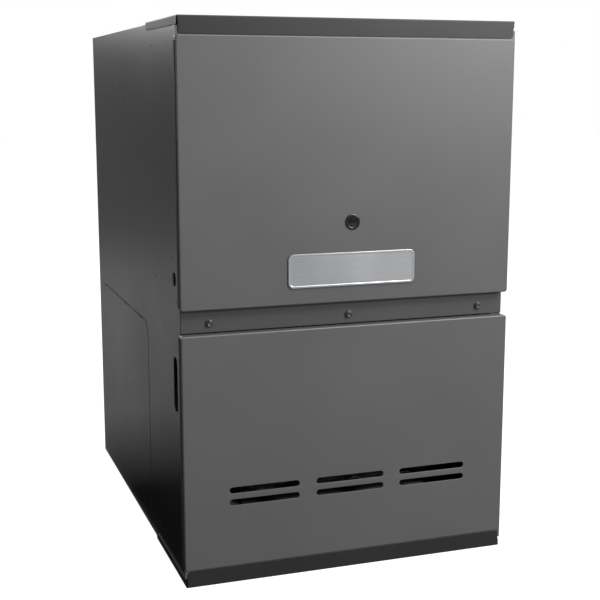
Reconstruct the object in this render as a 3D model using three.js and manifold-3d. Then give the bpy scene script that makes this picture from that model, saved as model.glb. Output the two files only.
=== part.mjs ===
// A forced air gas furnace for downward airflow: a tall sheet-metal cabinet with the blower above,
// and the burners, the heat exchanger and the draught inducer below. Millimetres, +Z up, the doors face -Y.
import * as THREE from "three";
import { mergeVertices } from "three/addons/utils/BufferGeometryUtils.js";
import Module from "manifold-3d";

const wasm = await Module();
wasm.setup();

// ---- driving dimensions ----
const cabinetWidth = 533.4; // over the doors
const cabinetHeight = 848;
const cabinetDepth = 730; // from the door face to the back
const sheet = 1.2; // thickness of all folded sheet metal
const seatGap = 0.3; // between pieces that rest on each other
const doorOverhang = 1.2; // how far a door stands out past the trims, each side

const trimHeight = 25.4; // face of the top and bottom front trims
const trimDepth = 213; // how far back the trim plates reach
const trimSideFlange = 12.7;
const doorGap = 1; // between a door and its trim
const doorTuck = 12; // lip of a door behind its trim
const tuckDepth = 7; // depth of the door's side flange beside that lip
const recessDepth = 16; // from the door face back to the cabinet's front edge
const upperDoorBottom = 427; // height of the edge above the groove
const lowerDoorTop = 389.6; // height of the edge below the groove
const grooveGap = 1.4; // under the upper door's recessed flange

const panelFlange = 14; // folded edges of the side and back panels
const frontFlange = 18; // folded front edge of the side panels
const ductFrameLeg = 25; // flat leg of the duct frames
const ductFrameRise = 20; // upright leg of the duct frames
const ductFrameInset = 9; // from the panel's outside to the frame's edge

const sightHoleRadius = 10;
const sightHoleHeight = 549;
const sightFlangeRadius = 12;
const sightLensRadius = 8;
const sightFlange = 1; // thickness of the bezel's flange
const sightSleeve = 5; // length of the bezel behind the door sheet
const lensProud = 0.6;
const lensReach = 2;
const doorScrewHeight = 405;
const doorScrewSpacing = 221;
const screwShankRadius = 2.2;
const screwHeadRadius = 4.6;
const screwHeadHeight = 4;
const washerReach = 1.4; // how far the washer stands out past the hexagon
const washerThickness = 1.2;
const screwHoleClearance = 0.5;
const screwReach = 14; // shank length behind the head
const plateWidth = 205; // blank nameplate
const plateHeight = 51;
const plateThickness = 1.5;
const plateRim = 0.5; // how far its rim stands out
const plateRimWidth = 3;
const plateCorner = 8;
const plateBottom = 452.5;
const linerThickness = 6;
const linerHoleMargin = 4; // round the sight glass
const linerMargin = 26; // liner's edge from the door's edges

const louverLength = 111;
const louverHeight = 8;
const louverPitchAcross = 140;
const louverLowRow = 127.3;
const louverRowPitch = 18.7;

const wiringHoleRadius = 11;
const wiringHoleBack = 51; // behind the door face
const wiringHoleHeight = 467;
const gasSlotWidth = 25;
const gasSlotLength = 85;
const gasSlotBack = 53;
const gasSlotHeight = 305.5;
const gasSlotCorner = 9;
const plugFlange = 3; // how far a plug's head covers the panel
const plugHead = 1.2;
const plugNeck = 3; // how far a plug reaches past the panel

const railBottom = 391;
const railTop = 424;
const railFlange = 27;
const deckFlange = 15;
const vestibuleBack = 200; // front face of the vestibule panel, behind the door face
const vestibuleFlange = 18;
const flangeClearance = 2; // beside the side panels' folded edges

const blowerAxisBack = 400;
const blowerAxisRise = 205; // above the deck
const wheelRadius = 127;
const wheelHalfWidth = 100;
const wheelBladeDepth = 22;
const wheelBlades = 24;
const bladeThickness = 1.6;
const bladeLean = 0.2; // radians that a blade leans forward over its depth
const scrollLeast = 136; // scroll radius at the cut-off
const scrollMost = 205; // scroll radius at the outlet wall
const scrollHalfWidth = 120;
const cutoffAngle = THREE.MathUtils.degToRad(245);
const inletRadius = 95;
const inletLip = 6;
const inletCollar = 8; // width of the ring round the inlet
const housingFlange = 15;
const motorRadius = 70;
const motorInner = -35; // end of the motor inside the wheel
const motorOuter = -150; // end of the motor outside the housing
const bellInset = 8; // the motor's end bells are this much smaller
const bellLength = 8;
const bossRadius = 28; // raised middle of each end bell
const bossLength = 4;
const shaftInMotor = 24;
const shaftEnd = 22; // past the wheel's middle
const shaftRadius = 6.35;
const shaftClearance = 0.4;
const hubRadius = 16;
const hubHalfLength = 12;
const wheelDisc = 2; // thickness of the wheel's middle disc
const wheelRing = 4; // width of its end rings
const bandThickness = 4;
const bandWidth = 16;
const mountArms = 3;
const mountArmWidth = 18;
const mountArmThickness = 4;
const mountFootStart = 12; // from the inlet's edge to the foot of an arm
const mountFootEnd = 32;

const pipeRadius = 39; // vent pipe, a 3 in pipe
const pipeWall = 1.2;
const pipeClearance = 2; // round the pipe where it passes a plate
const inducerAcross = 50;
const inducerHeight = 332;
const inducerDepth = 70;
const inducerLeast = 72;
const outletAcross = 24.6; // from the inducer's axis to the near wall of its outlet
const inducerTop = 400; // where the inducer's outlet meets the vent pipe
const inducerInlet = 28;
const inducerWheelRadius = 60;
const inducerWheelWidth = 34;
const inducerBlades = 12;
const inducerMotorRadius = 42;
const inducerMotorLength = 60;
const inducerCutoff = 2.15; // radians from +X, where the scroll begins beside the outlet
const inducerWall = 1.6;
const inducerHub = 10;
const inducerBladeThickness = 1.8;
const inducerWheelStart = 8; // behind the housing's front face
const inducerDisc = 2; // thickness of the wheel's plate
const inducerShaftInMotor = 16;
const coreShare = 0.8; // of the inducer motor's radius, for its laminated core
const canShare = 0.72; // of the same radius, for its body
const coreFront = 14;
const coreBack = 12;
const motorFlange = 8;
const outletDrop = 8; // from the vent pipe down to the scroll's top
const outletCollar = 3; // how far the collar under the pipe stands out
const outletLand = 6; // width of the ledge that the vent pipe stands on
const inducerShaftRadius = 4;
const collectorDepth = 30;
const collectorHalfWidth = 170;
const collectorBottom = 300;
const collectorTop = 370;
const collectorFlange = 8;

const tubeRadius = 22; // heat exchanger tubes
const tubeWall = 1.5;
const tubeCount = 4;
const tubePitch = 90;
const tubeLow = 95; // height of the lowest pass
const tubePassPitch = 80;
const tubeRearBend = 640; // centre of the rear bends
const tubeFrontBend = 275; // centre of the front bend
const tubeSides = 8;
const bendSteps = 3;
const tubeClearance = 0.5;
const supportBack = 560;
const supportDepth = 20;

const burnerStart = 92;
const burnerEnd = 185;
const burnerThroat = 11;
const burnerMouth = 17;
const burnerHead = 15;
const throatStart = 0.22; // places along a burner, as shares of its length
const throatEnd = 0.58;
const headStart = 0.78;
const burnerWall = 1.4;
const rackBack = 140;
const rackBottom = 68;
const rackTop = 138;
const rackHalfWidth = 160;
const rackFront = 62;
const rackFoot = 12;
const probeHeight = 124;
const probeRadius = 4.5;
const probeAcross = 112;
const probeFront = 14; // ceramic in front of the rack
const probeRear = 12;
const probeCollar = 3; // how far the collar stands out
const collarLength = 5;
const rodRadius = 1.4;
const rodStart = 8;
const rodEnd = 52;
const rodDrop = 3; // the rod lies lower than the ceramic's middle
const manifoldBack = 75;
const manifoldRadius = 10.7;
const manifoldBend = 26;
const orificeRadius = 4.5;
const orificeReach = 20; // from the manifold's axis to the orifice tip
const orificeBore = 1.2;
const orificeDepth = 8;
const manifoldEnd = 8; // how far the capped end stands out past the rack

const valveAcross = -190;
const valveHalfWidth = 38;
const valveFront = 20;
const valveDepth = 70;
const valveBottom = 262;
const valveHeight = 88;
const valvePortRadius = 15;
const valvePortBore = 9;
const valvePortLength = 18;
const valveOutletLength = 12;
const valveOutletRadius = 14;
const valveCapHeight = 22; // the valve's narrower upper part
const valveCapSide = 8;
const valveCapFront = 6;
const valveCapBack = 10;
const valveBoreDepth = 12;
const knobRadius = 12;
const knobLength = 10;
const knobStemRadius = 4;
const knobStemLength = 6;
const gripHalfWidth = 2.5;
const gripHeight = 2;

const pressureSwitchAcross = -75;
const pressureSwitchHeight = 228;
const pressureSwitchRadius = 34;
const pressureSwitchDepth = 24;
const pressureRim = 3; // how far its crimped rim stands out
const rimFront = 8;
const rimWidth = 4;
const strapReach = 14; // the strap's ears beside the switch
const strapThickness = 7;
const strapHalfHeight = 9;
const switchPortRise = 12; // of the hose port over the switch's middle
const hoseRadius = 3.5;
const hosePortRadius = 2.4;
const hosePortLength = 8;
const inducerPortBack = 20; // of the inducer's hose port behind its front face
const inducerPortRise = 10;
const hoseBend = 16;
const limitSwitchAcross = -225;
const limitSwitchHeight = 200;
const rolloutHeight = 152;
const limitHalf = [17, 13]; // half width and half height of the limit switch's plate
const limitPlate = 3;
const limitCoverHalf = [10, 8];
const limitDepth = 18;
const rolloutHalf = [13, 7];
const rolloutPlate = 2;
const rolloutCanRadius = 7.5;
const rolloutDepth = 10;

const bracketLeft = -135;
const pipeToBracket = 9.8; // from the vent pipe to the control bracket
const bracketBack = 150;
const bracketTop = 640;
const bracketFoot = 20;
const boardLeft = -122;
const boardInset = 14; // from the bracket's right edge to the board
const boardBottom = 505;
const boardTop = 632;
const boardStandoff = 8;
const boardThickness = 1.6;
const standoffRadius = 4;
const standoffInset = 8;
const lampRadius = 3;
const lampHeight = 6;
// parts on the board: place from its lower left corner, size, and how far each stands out
const relayLeft = { left: 10, low: 87, width: 24, height: 30, depth: 18 };
const relayRight = { left: 40, low: 87, width: 24, height: 30, depth: 18 };
const fuseHolder = { left: 70, low: 97, width: 30, height: 18, depth: 14 };
const terminals = { left: 12, low: 6, width: 80, height: 10, depth: 10 };
const processor = { left: 128, low: 50, width: 24, height: 20, depth: 4 };
const boardPlug = { left: 134, low: 8, width: 24, height: 16, depth: 12 };
const transformerWidth = 60;
const transformerDepth = 44;
const transformerHeight = 52;
const transformerInset = 14; // from the bracket's left edge
const transformerRise = 8;
const windingInset = 10; // the core is narrower than the windings by this much, each side
const windingMargin = 8;
const transformerEar = 6;
const earHeight = 12;
const junctionWidth = 56;
const junctionDepth = 80;
const junctionBottom = 445;
const junctionTop = 522;
const junctionFront = 20;
const capacitorRadius = 22;
const capacitorHeight = 78;
const capacitorAcross = 190;
const capacitorBack = 250;
const canRim = 1.5;
const canRimStart = 6; // below the can's top
const canRimEnd = 2;
const bladeSpacing = 7; // of the terminal blades from the can's middle
const bladeHalfWidth = 3;
const bladeHeight = 9;
const strapHalfWidth = 8;
const strapTab = 10; // from the ring to the leg that stands on the deck
const strapFoot = 12;
const switchAcross = 160;
const switchHeight = 407.5;
const switchHalfWidth = 14;
const switchHalfHeight = 9;
const switchLength = 26;
const tabSpacing = 8; // of the switch's terminals from its middle
const tabHalfWidth = 2.5;
const tabLength = 8;
const plungerRadius = 3;
const plungerReach = 16;
const plungerClearance = 1;
const harnessRadius = 5;
const harnessAcross = -40;
const harnessBack = 118;
const harnessClearance = 3; // round the harness in the deck
const harnessBend = 10;
const harnessFall = 14; // of its sloping run towards the gas valve
const harnessSide = 34; // from the valve's middle to the start of the run over it
const harnessOver = 4; // how far it runs past the valve's middle
const harnessValveBack = 60;

const joinTolerance = 0.005; // slivers finer than this are closed up after joining

// ---- values that follow ----
const doorHalf = cabinetWidth / 2;
const trimHalf = doorHalf - doorOverhang;
const panelHalf = trimHalf - sheet - seatGap; // outside of the side panels
const innerHalf = panelHalf - sheet; // inside of the side panels
const fitHalf = innerHalf - seatGap; // what fits between them
const panelBottom = sheet + seatGap;
const panelTop = cabinetHeight - sheet - seatGap;
const plateStand = seatGap + plateThickness + plateRim;
const frontFace = (plateStand - cabinetDepth) / 2; // Y of the door face, with the whole centred on Y
const backSheet = cabinetDepth - sheet; // inside of the back panel
const innerBack = backSheet - seatGap;
const upperDoorTop = cabinetHeight - trimHeight - doorGap;
const lowerDoorBottom = trimHeight + doorGap;
const lipFront = sheet + 0.5; // a door's lip behind its trim
const grooveFace = recessDepth - seatGap - sheet; // front of the upper door's recessed flange
const grooveBottom = lowerDoorTop + grooveGap;
const railFront = recessDepth + sheet + seatGap;
const deckBottom = railTop + seatGap;
const deckTop = deckBottom + sheet;
const blowerAxisHeight = deckTop + seatGap + blowerAxisRise;
const inducerBack = vestibuleBack - seatGap - collectorDepth - seatGap; // rear face of the inducer housing
const inducerFront = inducerBack - inducerDepth;
const inducerMost = outletAcross + 2 * pipeRadius + 2 * sheet; // its outlet is as wide as the pipe
const inducerGrowth = (inducerMost - inducerLeast) / (2 * Math.PI - inducerCutoff); // per radian
const inducerSide = inducerLeast + inducerGrowth * (Math.PI - inducerCutoff); // radius at the hose port
const flueAcross = inducerAcross + inducerMost - sheet - pipeRadius;
const flueBack = (inducerFront + inducerBack) / 2;
const tubeTop = tubeLow + 3 * tubePassPitch;
const tubeAcross = Array.from({ length: tubeCount }, (_, i) => (i - (tubeCount - 1) / 2) * tubePitch);
const valveBack = valveFront + valveDepth;
const bracketRight = flueAcross - pipeRadius - pipeToBracket;
const boardRight = bracketRight - boardInset;
const plungerTip = grooveFace + sheet + seatGap; // where the closed door holds the plunger
const vestibuleFront = vestibuleBack - seatGap; // what stands on the vestibule panel ends here

// ---- solids ----
function solid(geometry) {
  const bare = geometry.index ? geometry.toNonIndexed() : geometry.clone();
  bare.deleteAttribute("normal");
  bare.deleteAttribute("uv");
  const merged = mergeVertices(bare, 1e-4);
  const mesh = new wasm.Mesh({
    numProp: 3,
    vertProperties: new Float32Array(merged.attributes.position.array),
    triVerts: new Uint32Array(merged.index.array),
  });
  return new wasm.Manifold(mesh);
}

function geometryOf(shape) {
  const mesh = shape.asOriginal().simplify(joinTolerance).getMesh(); // faces in one plane become one face
  const geometry = new THREE.BufferGeometry();
  geometry.setAttribute("position", new THREE.BufferAttribute(new Float32Array(mesh.vertProperties), 3));
  geometry.setIndex(new THREE.BufferAttribute(new Uint32Array(mesh.triVerts), 1));
  const facets = geometry.toNonIndexed();
  facets.computeVertexNormals();
  return facets;
}

// Faces at one stated place get exactly that number, so that joined blocks share their planes.
function block(x0, x1, y0, y1, z0, z1) {
  const geometry = new THREE.BoxGeometry(1, 1, 1);
  const corners = geometry.attributes.position;
  for (let i = 0; i < corners.count; i += 1) {
    const x = corners.getX(i) < 0 ? x0 : x1;
    const y = corners.getY(i) < 0 ? y0 : y1;
    const z = corners.getZ(i) < 0 ? z0 : z1;
    corners.setXYZ(i, x, y, z);
  }
  return solid(geometry);
}

// Turns a shape drawn in the plane across an axis so that it runs along that axis.
const across = {
  x: new THREE.Matrix4().makeBasis(
    new THREE.Vector3(0, 1, 0),
    new THREE.Vector3(0, 0, 1),
    new THREE.Vector3(1, 0, 0),
  ),
  y: new THREE.Matrix4().makeBasis(
    new THREE.Vector3(1, 0, 0),
    new THREE.Vector3(0, 0, 1),
    new THREE.Vector3(0, -1, 0),
  ),
  z: new THREE.Matrix4(),
};

function prism(shape, axis, from, to, curveSegments = 6) {
  const geometry = new THREE.ExtrudeGeometry(shape, { depth: 1, bevelEnabled: false, curveSegments });
  const corners = geometry.attributes.position;
  const near = axis === "y" ? -to : from;
  const far = axis === "y" ? -from : to;
  for (let i = 0; i < corners.count; i += 1) corners.setZ(i, corners.getZ(i) < 0.5 ? near : far);
  return solid(geometry.applyMatrix4(across[axis]));
}

// A round bar along an axis; a and b are its place on the other two axes, in X, Y, Z order.
function bar(axis, radius, from, to, a, b, sides = 20) {
  const outline = new THREE.Shape();
  for (let i = 0; i < sides; i += 1) {
    const angle = (2 * Math.PI * (i + 0.5)) / sides;
    const point = [a + radius * Math.cos(angle), b + radius * Math.sin(angle)];
    if (i === 0) outline.moveTo(...point);
    else outline.lineTo(...point);
  }
  return prism(outline, axis, from, to);
}

// The cutter for a round hole: its flats lie at the radius, so a round piece of that radius passes.
function bore(axis, radius, from, to, a, b, sides = 20) {
  return bar(axis, radius / Math.cos(Math.PI / sides), from, to, a, b, sides);
}

function ring(axis, outer, inner, from, to, a, b, sides = 24) {
  return bar(axis, outer, from, to, a, b, sides).subtract(bore(axis, inner, from - 1, to + 1, a, b, sides));
}

function roundedRectangle(a, b, width, height, radius) {
  const left = a - width / 2;
  const right = a + width / 2;
  const low = b - height / 2;
  const high = b + height / 2;
  const shape = new THREE.Shape();
  shape.absarc(right - radius, low + radius, radius, -Math.PI / 2, 0);
  shape.absarc(right - radius, high - radius, radius, 0, Math.PI / 2);
  shape.absarc(left + radius, high - radius, radius, Math.PI / 2, Math.PI);
  shape.absarc(left + radius, low + radius, radius, Math.PI, 1.5 * Math.PI);
  return shape;
}

function outlineShape(points) {
  return new THREE.Shape(points.map(([a, b]) => new THREE.Vector2(a, b)));
}

// A turned piece along Y from its closed wall profile, in [radius, distance back] pairs.
// The outside of the profile goes back, and the inside comes forward.
function turnedAlongY(profile, sides = 16) {
  const points = profile.map(([radius, back]) => new THREE.Vector2(radius, back));
  return solid(new THREE.LatheGeometry(points, sides));
}

// A route of straight runs joined by round bends; each run is one step and each bend a few.
class BentRoute extends THREE.Curve {
  constructor(corners, radius, steps) {
    super();
    const points = corners.map((corner) => new THREE.Vector3(...corner));
    this.stations = [];
    const add = (point, tangent) => {
      const last = this.stations.at(-1);
      if (!last || last.point.distanceTo(point) > 0.01) this.stations.push({ point, tangent });
    };
    const direction = (i) => points[i + 1].clone().sub(points[i]).normalize();
    add(points[0], direction(0));
    for (let i = 1; i < points.length - 1; i += 1) {
      const before = direction(i - 1);
      const after = direction(i);
      const turn = before.angleTo(after);
      const inward = after.clone().addScaledVector(before, -before.dot(after)).normalize();
      const start = points[i].clone().addScaledVector(before, -radius * Math.tan(turn / 2));
      for (let k = 0; k <= steps; k += 1) {
        const angle = (turn * k) / steps;
        const point = start.clone();
        point.addScaledVector(before, radius * Math.sin(angle));
        point.addScaledVector(inward, radius * (1 - Math.cos(angle)));
        const tangent = before.clone().multiplyScalar(Math.cos(angle));
        tangent.addScaledVector(inward, Math.sin(angle));
        add(point, tangent);
      }
    }
    add(points.at(-1), direction(points.length - 2));
  }
  station(t) {
    return this.stations[Math.round(t * (this.stations.length - 1))];
  }
  getPoint(t, target = new THREE.Vector3()) {
    return target.copy(this.station(t).point);
  }
  getTangent(t, target = new THREE.Vector3()) {
    return target.copy(this.station(t).tangent);
  }
  getUtoTmapping(u) {
    return u; // steps follow the stations, not the length
  }
}

function bentTube(corners, bendRadius, outer, inner, sides, steps = bendSteps) {
  const route = new BentRoute(corners, bendRadius, steps);
  const section = new THREE.Shape();
  const bore = new THREE.Path();
  for (let i = 0; i <= sides; i += 1) {
    const angle = (2 * Math.PI * (i + 0.5)) / sides;
    const cos = Math.cos(angle);
    const sin = Math.sin(angle);
    if (i === 0) section.moveTo(outer * cos, outer * sin);
    else section.lineTo(outer * cos, outer * sin);
    if (i === 0) bore.moveTo(inner * cos, inner * sin);
    else bore.lineTo(inner * cos, inner * sin);
  }
  if (inner > 0) section.holes.push(bore);
  const settings = { steps: route.stations.length - 1, extrudePath: route, bevelEnabled: false };
  return solid(new THREE.ExtrudeGeometry(section, settings));
}

// ---- materials ----
const colours = {
  doorPaint: { color: 0x5b5b5c, roughness: 0.55, metalness: 0.1 },
  trimPaint: { color: 0x37373a, roughness: 0.5, metalness: 0.1 },
  cabinetPaint: { color: 0x4c4c4e, roughness: 0.6, metalness: 0.1 },
  galvanised: { color: 0xa9adb0, roughness: 0.45, metalness: 0.9 },
  aluminised: { color: 0x9a9a98, roughness: 0.5, metalness: 0.9 },
  zincScrew: { color: 0x8a8a8c, roughness: 0.35, metalness: 0.9 },
  castAluminium: { color: 0xb6b8ba, roughness: 0.5, metalness: 0.9 },
  blackPlastic: { color: 0x111112, roughness: 0.35, metalness: 0 },
  smokedPlastic: { color: 0x1d1d1f, roughness: 0.1, metalness: 0 },
  motorPaint: { color: 0x2a2c30, roughness: 0.5, metalness: 0.3 },
  liner: { color: 0x6f7173, roughness: 0.9, metalness: 0 },
  board: { color: 0x1f5a36, roughness: 0.4, metalness: 0 },
  rubber: { color: 0x202022, roughness: 0.8, metalness: 0 },
  ceramic: { color: 0xe6e2d8, roughness: 0.7, metalness: 0 },
  blackPipe: { color: 0x2f2e2d, roughness: 0.6, metalness: 0.6 },
};

function place(group, name, shape, material, x = 0, y = 0, z = 0) {
  const mesh = new THREE.Mesh(geometryOf(shape), new THREE.MeshStandardMaterial(colours[material]));
  mesh.name = name;
  mesh.position.set(x, y, z);
  group.add(mesh);
}

function groupAt(parent, x, y, z) {
  const group = new THREE.Group();
  group.position.set(x, y, z);
  parent.add(group);
  return group;
}

// ---- cabinet ----
// In these functions Y is the distance behind the door face.
function sidePanel(side) {
  const plate = (from, to, y0, y1, z0, z1) =>
    side < 0 ? block(-to, -from, y0, y1, z0, z1) : block(from, to, y0, y1, z0, z1);
  const foldStart = panelHalf - panelFlange;
  const panelEnd = innerBack;
  let panel = plate(innerHalf, panelHalf, recessDepth, panelEnd, panelBottom, panelTop);
  panel = panel.add(plate(foldStart, panelHalf, recessDepth, panelEnd, panelTop - sheet, panelTop));
  panel = panel.add(plate(foldStart, panelHalf, recessDepth, panelEnd, panelBottom, panelBottom + sheet));
  panel = panel.add(plate(foldStart, panelHalf, panelEnd - sheet, panelEnd, panelBottom, panelTop));
  const frontStart = panelHalf - frontFlange;
  panel = panel.add(plate(frontStart, panelHalf, recessDepth, recessDepth + sheet, panelBottom, panelTop));
  const from = side < 0 ? -panelHalf - 1 : innerHalf - 1;
  const to = side < 0 ? -innerHalf + 1 : panelHalf + 1;
  const slot = roundedRectangle(gasSlotBack, gasSlotHeight, gasSlotWidth, gasSlotLength, gasSlotCorner);
  panel = panel.subtract(prism(slot, "x", from, to, 4));
  return panel.subtract(bore("x", wiringHoleRadius, from, to, wiringHoleBack, wiringHoleHeight, 20));
}

function backPanel() {
  let panel = block(-panelHalf, panelHalf, backSheet, cabinetDepth, panelBottom, panelTop);
  const half = panelHalf - panelFlange - seatGap; // clear of the side panels' folded edges
  const start = cabinetDepth - panelFlange;
  panel = panel.add(block(-half, half, start, cabinetDepth, panelTop - sheet, panelTop));
  return panel.add(block(-half, half, start, cabinetDepth, panelBottom, panelBottom + sheet));
}

function frontTrim(outer, inward) {
  // outer is the plate's outside height; inward is -1 below the plate and +1 above it
  const level = (reach) => outer + inward * reach;
  const slice = (x0, x1, y0, y1, reach) =>
    block(x0, x1, y0, y1, Math.min(outer, level(reach)), Math.max(outer, level(reach)));
  const rearHalf = panelHalf - panelFlange - flangeClearance;
  let trim = slice(-trimHalf, trimHalf, 0, trimDepth, sheet);
  trim = trim.add(slice(-trimHalf, trimHalf, 0, sheet, trimHeight));
  trim = trim.add(slice(-rearHalf, rearHalf, trimDepth - sheet, trimDepth, trimSideFlange));
  for (const side of [-1, 1]) {
    const edge = side * trimHalf;
    const fold = side * (trimHalf - sheet);
    trim = trim.add(slice(Math.min(edge, fold), Math.max(edge, fold), 0, trimDepth, trimSideFlange));
  }
  return trim;
}

function ductFrame(outer, inward) {
  const half = panelHalf - ductFrameInset;
  const front = trimDepth + seatGap;
  const back = cabinetDepth - ductFrameInset;
  const slab = (x0, x1, y0, y1, near, far) => {
    const heights = [outer + inward * near, outer + inward * far];
    return block(x0, x1, y0, y1, Math.min(...heights), Math.max(...heights));
  };
  const inside = half - ductFrameLeg;
  let frame = slab(-half, half, front, back, 0, sheet);
  const rim = [-inside - sheet, inside + sheet, front + ductFrameLeg - sheet, back - ductFrameLeg + sheet];
  frame = frame.add(slab(...rim, 0, ductFrameRise));
  return frame.subtract(
    slab(-inside, inside, front + ductFrameLeg, back - ductFrameLeg, -1, ductFrameRise + 1),
  );
}

function centerRail() {
  let rail = block(-fitHalf, fitHalf, railFront, railFront + sheet, railBottom, railTop);
  const back = railFront + railFlange;
  const through = railFront + sheet + 1;
  rail = rail.add(block(-fitHalf, fitHalf, railFront, back, railTop - sheet, railTop));
  rail = rail.add(block(-fitHalf, fitHalf, railFront, back, railBottom, railBottom + sheet));
  for (const place of [-1, 0, 1]) {
    const x = place * doorScrewSpacing;
    rail = rail.subtract(bore("y", 2 * screwShankRadius, 0, through, x, doorScrewHeight, 12));
  }
  const plungerHole = plungerRadius + plungerClearance;
  return rail.subtract(bore("y", plungerHole, 0, through, switchAcross, switchHeight, 12));
}

function blowerDeck() {
  let deck = block(-fitHalf, fitHalf, railFront, innerBack - sheet - seatGap, deckBottom, deckTop);
  for (const side of [-1, 1]) {
    const edge = side * fitHalf;
    const fold = side * (fitHalf - sheet);
    const low = Math.min(edge, fold);
    const start = railFront + railFlange;
    const end = innerBack - panelFlange;
    deck = deck.add(block(low, low + sheet, start, end, deckBottom, deckBottom + deckFlange));
  }
  const throatFront = blowerAxisBack + scrollLeast * Math.cos(cutoffAngle) + sheet;
  const throatBack = blowerAxisBack + scrollMost - sheet;
  const throatHalf = scrollHalfWidth - sheet;
  const above = deckTop + 1;
  const below = deckBottom - 1;
  deck = deck.subtract(block(-throatHalf, throatHalf, throatFront, throatBack, below, above));
  deck = deck.subtract(bore("z", pipeRadius + pipeClearance, below, above, flueAcross, flueBack, 24));
  const harnessHole = harnessRadius + harnessClearance;
  return deck.subtract(bore("z", harnessHole, below, above, harnessAcross, harnessBack, 12));
}

function vestibulePanel() {
  const low = panelBottom + sheet + seatGap;
  const back = vestibuleBack + sheet;
  let panel = block(-fitHalf, fitHalf, vestibuleBack, back, low, railTop);
  const half = panelHalf - panelFlange - flangeClearance;
  panel = panel.add(block(-fitHalf, fitHalf, vestibuleBack - vestibuleFlange, back, low, low + sheet));
  panel = panel.add(block(-half, half, vestibuleBack, back + vestibuleFlange, railTop - sheet, railTop));
  for (const x of tubeAcross) {
    for (const height of [tubeLow, tubeTop]) {
      const hole = bore("y", tubeRadius + tubeClearance, vestibuleBack - 1, back + 1, x, height, 12);
      panel = panel.subtract(hole);
    }
  }
  return panel;
}

function topTrim() {
  const hole = pipeRadius + seatGap + tubeClearance;
  const cut = bore("z", hole, cabinetHeight - 2 * sheet, cabinetHeight + 1, flueAcross, flueBack, 32);
  return frontTrim(cabinetHeight, -1).subtract(cut);
}

// ---- doors ----
function doorShell(low, high, tuckLow, tuckHigh) {
  let door = block(-doorHalf, doorHalf, 0, sheet, low, high);
  const sideLow = tuckLow ? low - doorTuck : low;
  const sideHigh = tuckHigh ? high + doorTuck : high;
  for (const side of [-1, 1]) {
    const inside = side < 0 ? -doorHalf : doorHalf - sheet;
    door = door.add(block(inside, inside + sheet, 0, recessDepth - seatGap, low, high));
    door = door.add(block(inside, inside + sheet, lipFront, tuckDepth, sideLow, sideHigh));
  }
  // the lip behind the trim, and the step that joins it to the face
  const lipLow = tuckLow ? low - doorTuck : high - sheet;
  const lipHigh = tuckLow ? low + sheet : high + doorTuck;
  const stepLow = tuckLow ? low : high - sheet;
  door = door.add(block(-doorHalf, doorHalf, 0, lipFront + sheet, stepLow, stepLow + sheet));
  return door.add(block(-doorHalf, doorHalf, lipFront, lipFront + sheet, lipLow, lipHigh));
}

function upperDoor() {
  let door = doorShell(upperDoorBottom, upperDoorTop, false, true);
  const groove = grooveFace + sheet;
  const step = upperDoorBottom + sheet;
  door = door.add(block(-doorHalf, doorHalf, 0, groove, upperDoorBottom, step));
  door = door.add(block(-panelHalf, panelHalf, grooveFace, groove, grooveBottom, step));
  const holeRadius = screwShankRadius + screwHoleClearance;
  for (const place of [-1, 0, 1]) {
    const x = place * doorScrewSpacing;
    door = door.subtract(bore("y", holeRadius, 0, groove + 1, x, doorScrewHeight, 12));
  }
  return door.subtract(bore("y", sightHoleRadius, -1, sheet + 1, 0, sightHoleHeight, 24));
}

function lowerDoor() {
  let door = doorShell(lowerDoorBottom, lowerDoorTop, true, false);
  const back = grooveFace + sheet;
  door = door.add(block(-doorHalf, doorHalf, 0, back, lowerDoorTop - sheet, lowerDoorTop));
  const end = louverHeight / 2;
  for (const place of [-1, 0, 1]) {
    for (const row of [0, 1]) {
      const x = place * louverPitchAcross;
      const height = louverLowRow + row * louverRowPitch;
      const slot = roundedRectangle(x, height, louverLength, louverHeight, end);
      door = door.subtract(prism(slot, "y", -1, sheet + 1, 3));
    }
  }
  return door;
}

function doorLiner() {
  const start = sheet + seatGap;
  const low = upperDoorBottom + linerMargin;
  const high = upperDoorTop - linerMargin;
  const half = doorHalf - linerMargin;
  const middle = (low + high) / 2;
  const outline = roundedRectangle(0, middle, 2 * half, high - low, linerMargin / 2);
  const end = start + linerThickness;
  const hole = sightFlangeRadius + linerHoleMargin;
  const liner = prism(outline, "y", start, end, 3);
  return liner.subtract(bore("y", hole, start - 1, end + 1, 0, sightHoleHeight, 20));
}

function doorScrew() {
  // local Y = 0 on the face that the head sits on
  const seat = -seatGap;
  const head = bar("y", screwHeadRadius, seat - screwHeadHeight, seat - washerThickness / 2, 0, 0, 6);
  const washer = bar("y", screwHeadRadius + washerReach, seat - washerThickness, seat, 0, 0, 16);
  const shank = bar("y", screwShankRadius, seat - washerThickness / 2, screwReach, 0, 0, 10);
  return head.add(washer).add(shank);
}

function sightBezel() {
  const through = sheet + sightSleeve;
  const sleeve = sightHoleRadius - seatGap;
  const inside = sightLensRadius + seatGap;
  const front = -seatGap - sightFlange;
  const profile = [
    [inside, front],
    [sightFlangeRadius, front],
    [sightFlangeRadius, -seatGap],
    [sleeve, -seatGap],
    [sleeve, through],
    [inside, through],
    [inside, front],
  ];
  return turnedAlongY(profile, 24);
}

function sightLens() {
  return bar("y", sightLensRadius, -seatGap - lensProud, lensReach, 0, 0, 24);
}

function namePlate() {
  const outline = roundedRectangle(0, 0, plateWidth, plateHeight, plateCorner);
  const rimWidth = 2 * plateRimWidth;
  const field = roundedRectangle(
    0,
    0,
    plateWidth - rimWidth,
    plateHeight - rimWidth,
    plateCorner - plateRimWidth,
  );
  const front = -plateStand;
  const plate = prism(outline, "y", front, -seatGap, 5);
  return plate.subtract(prism(field, "y", front - 1, front + plateRim, 5));
}

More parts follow.
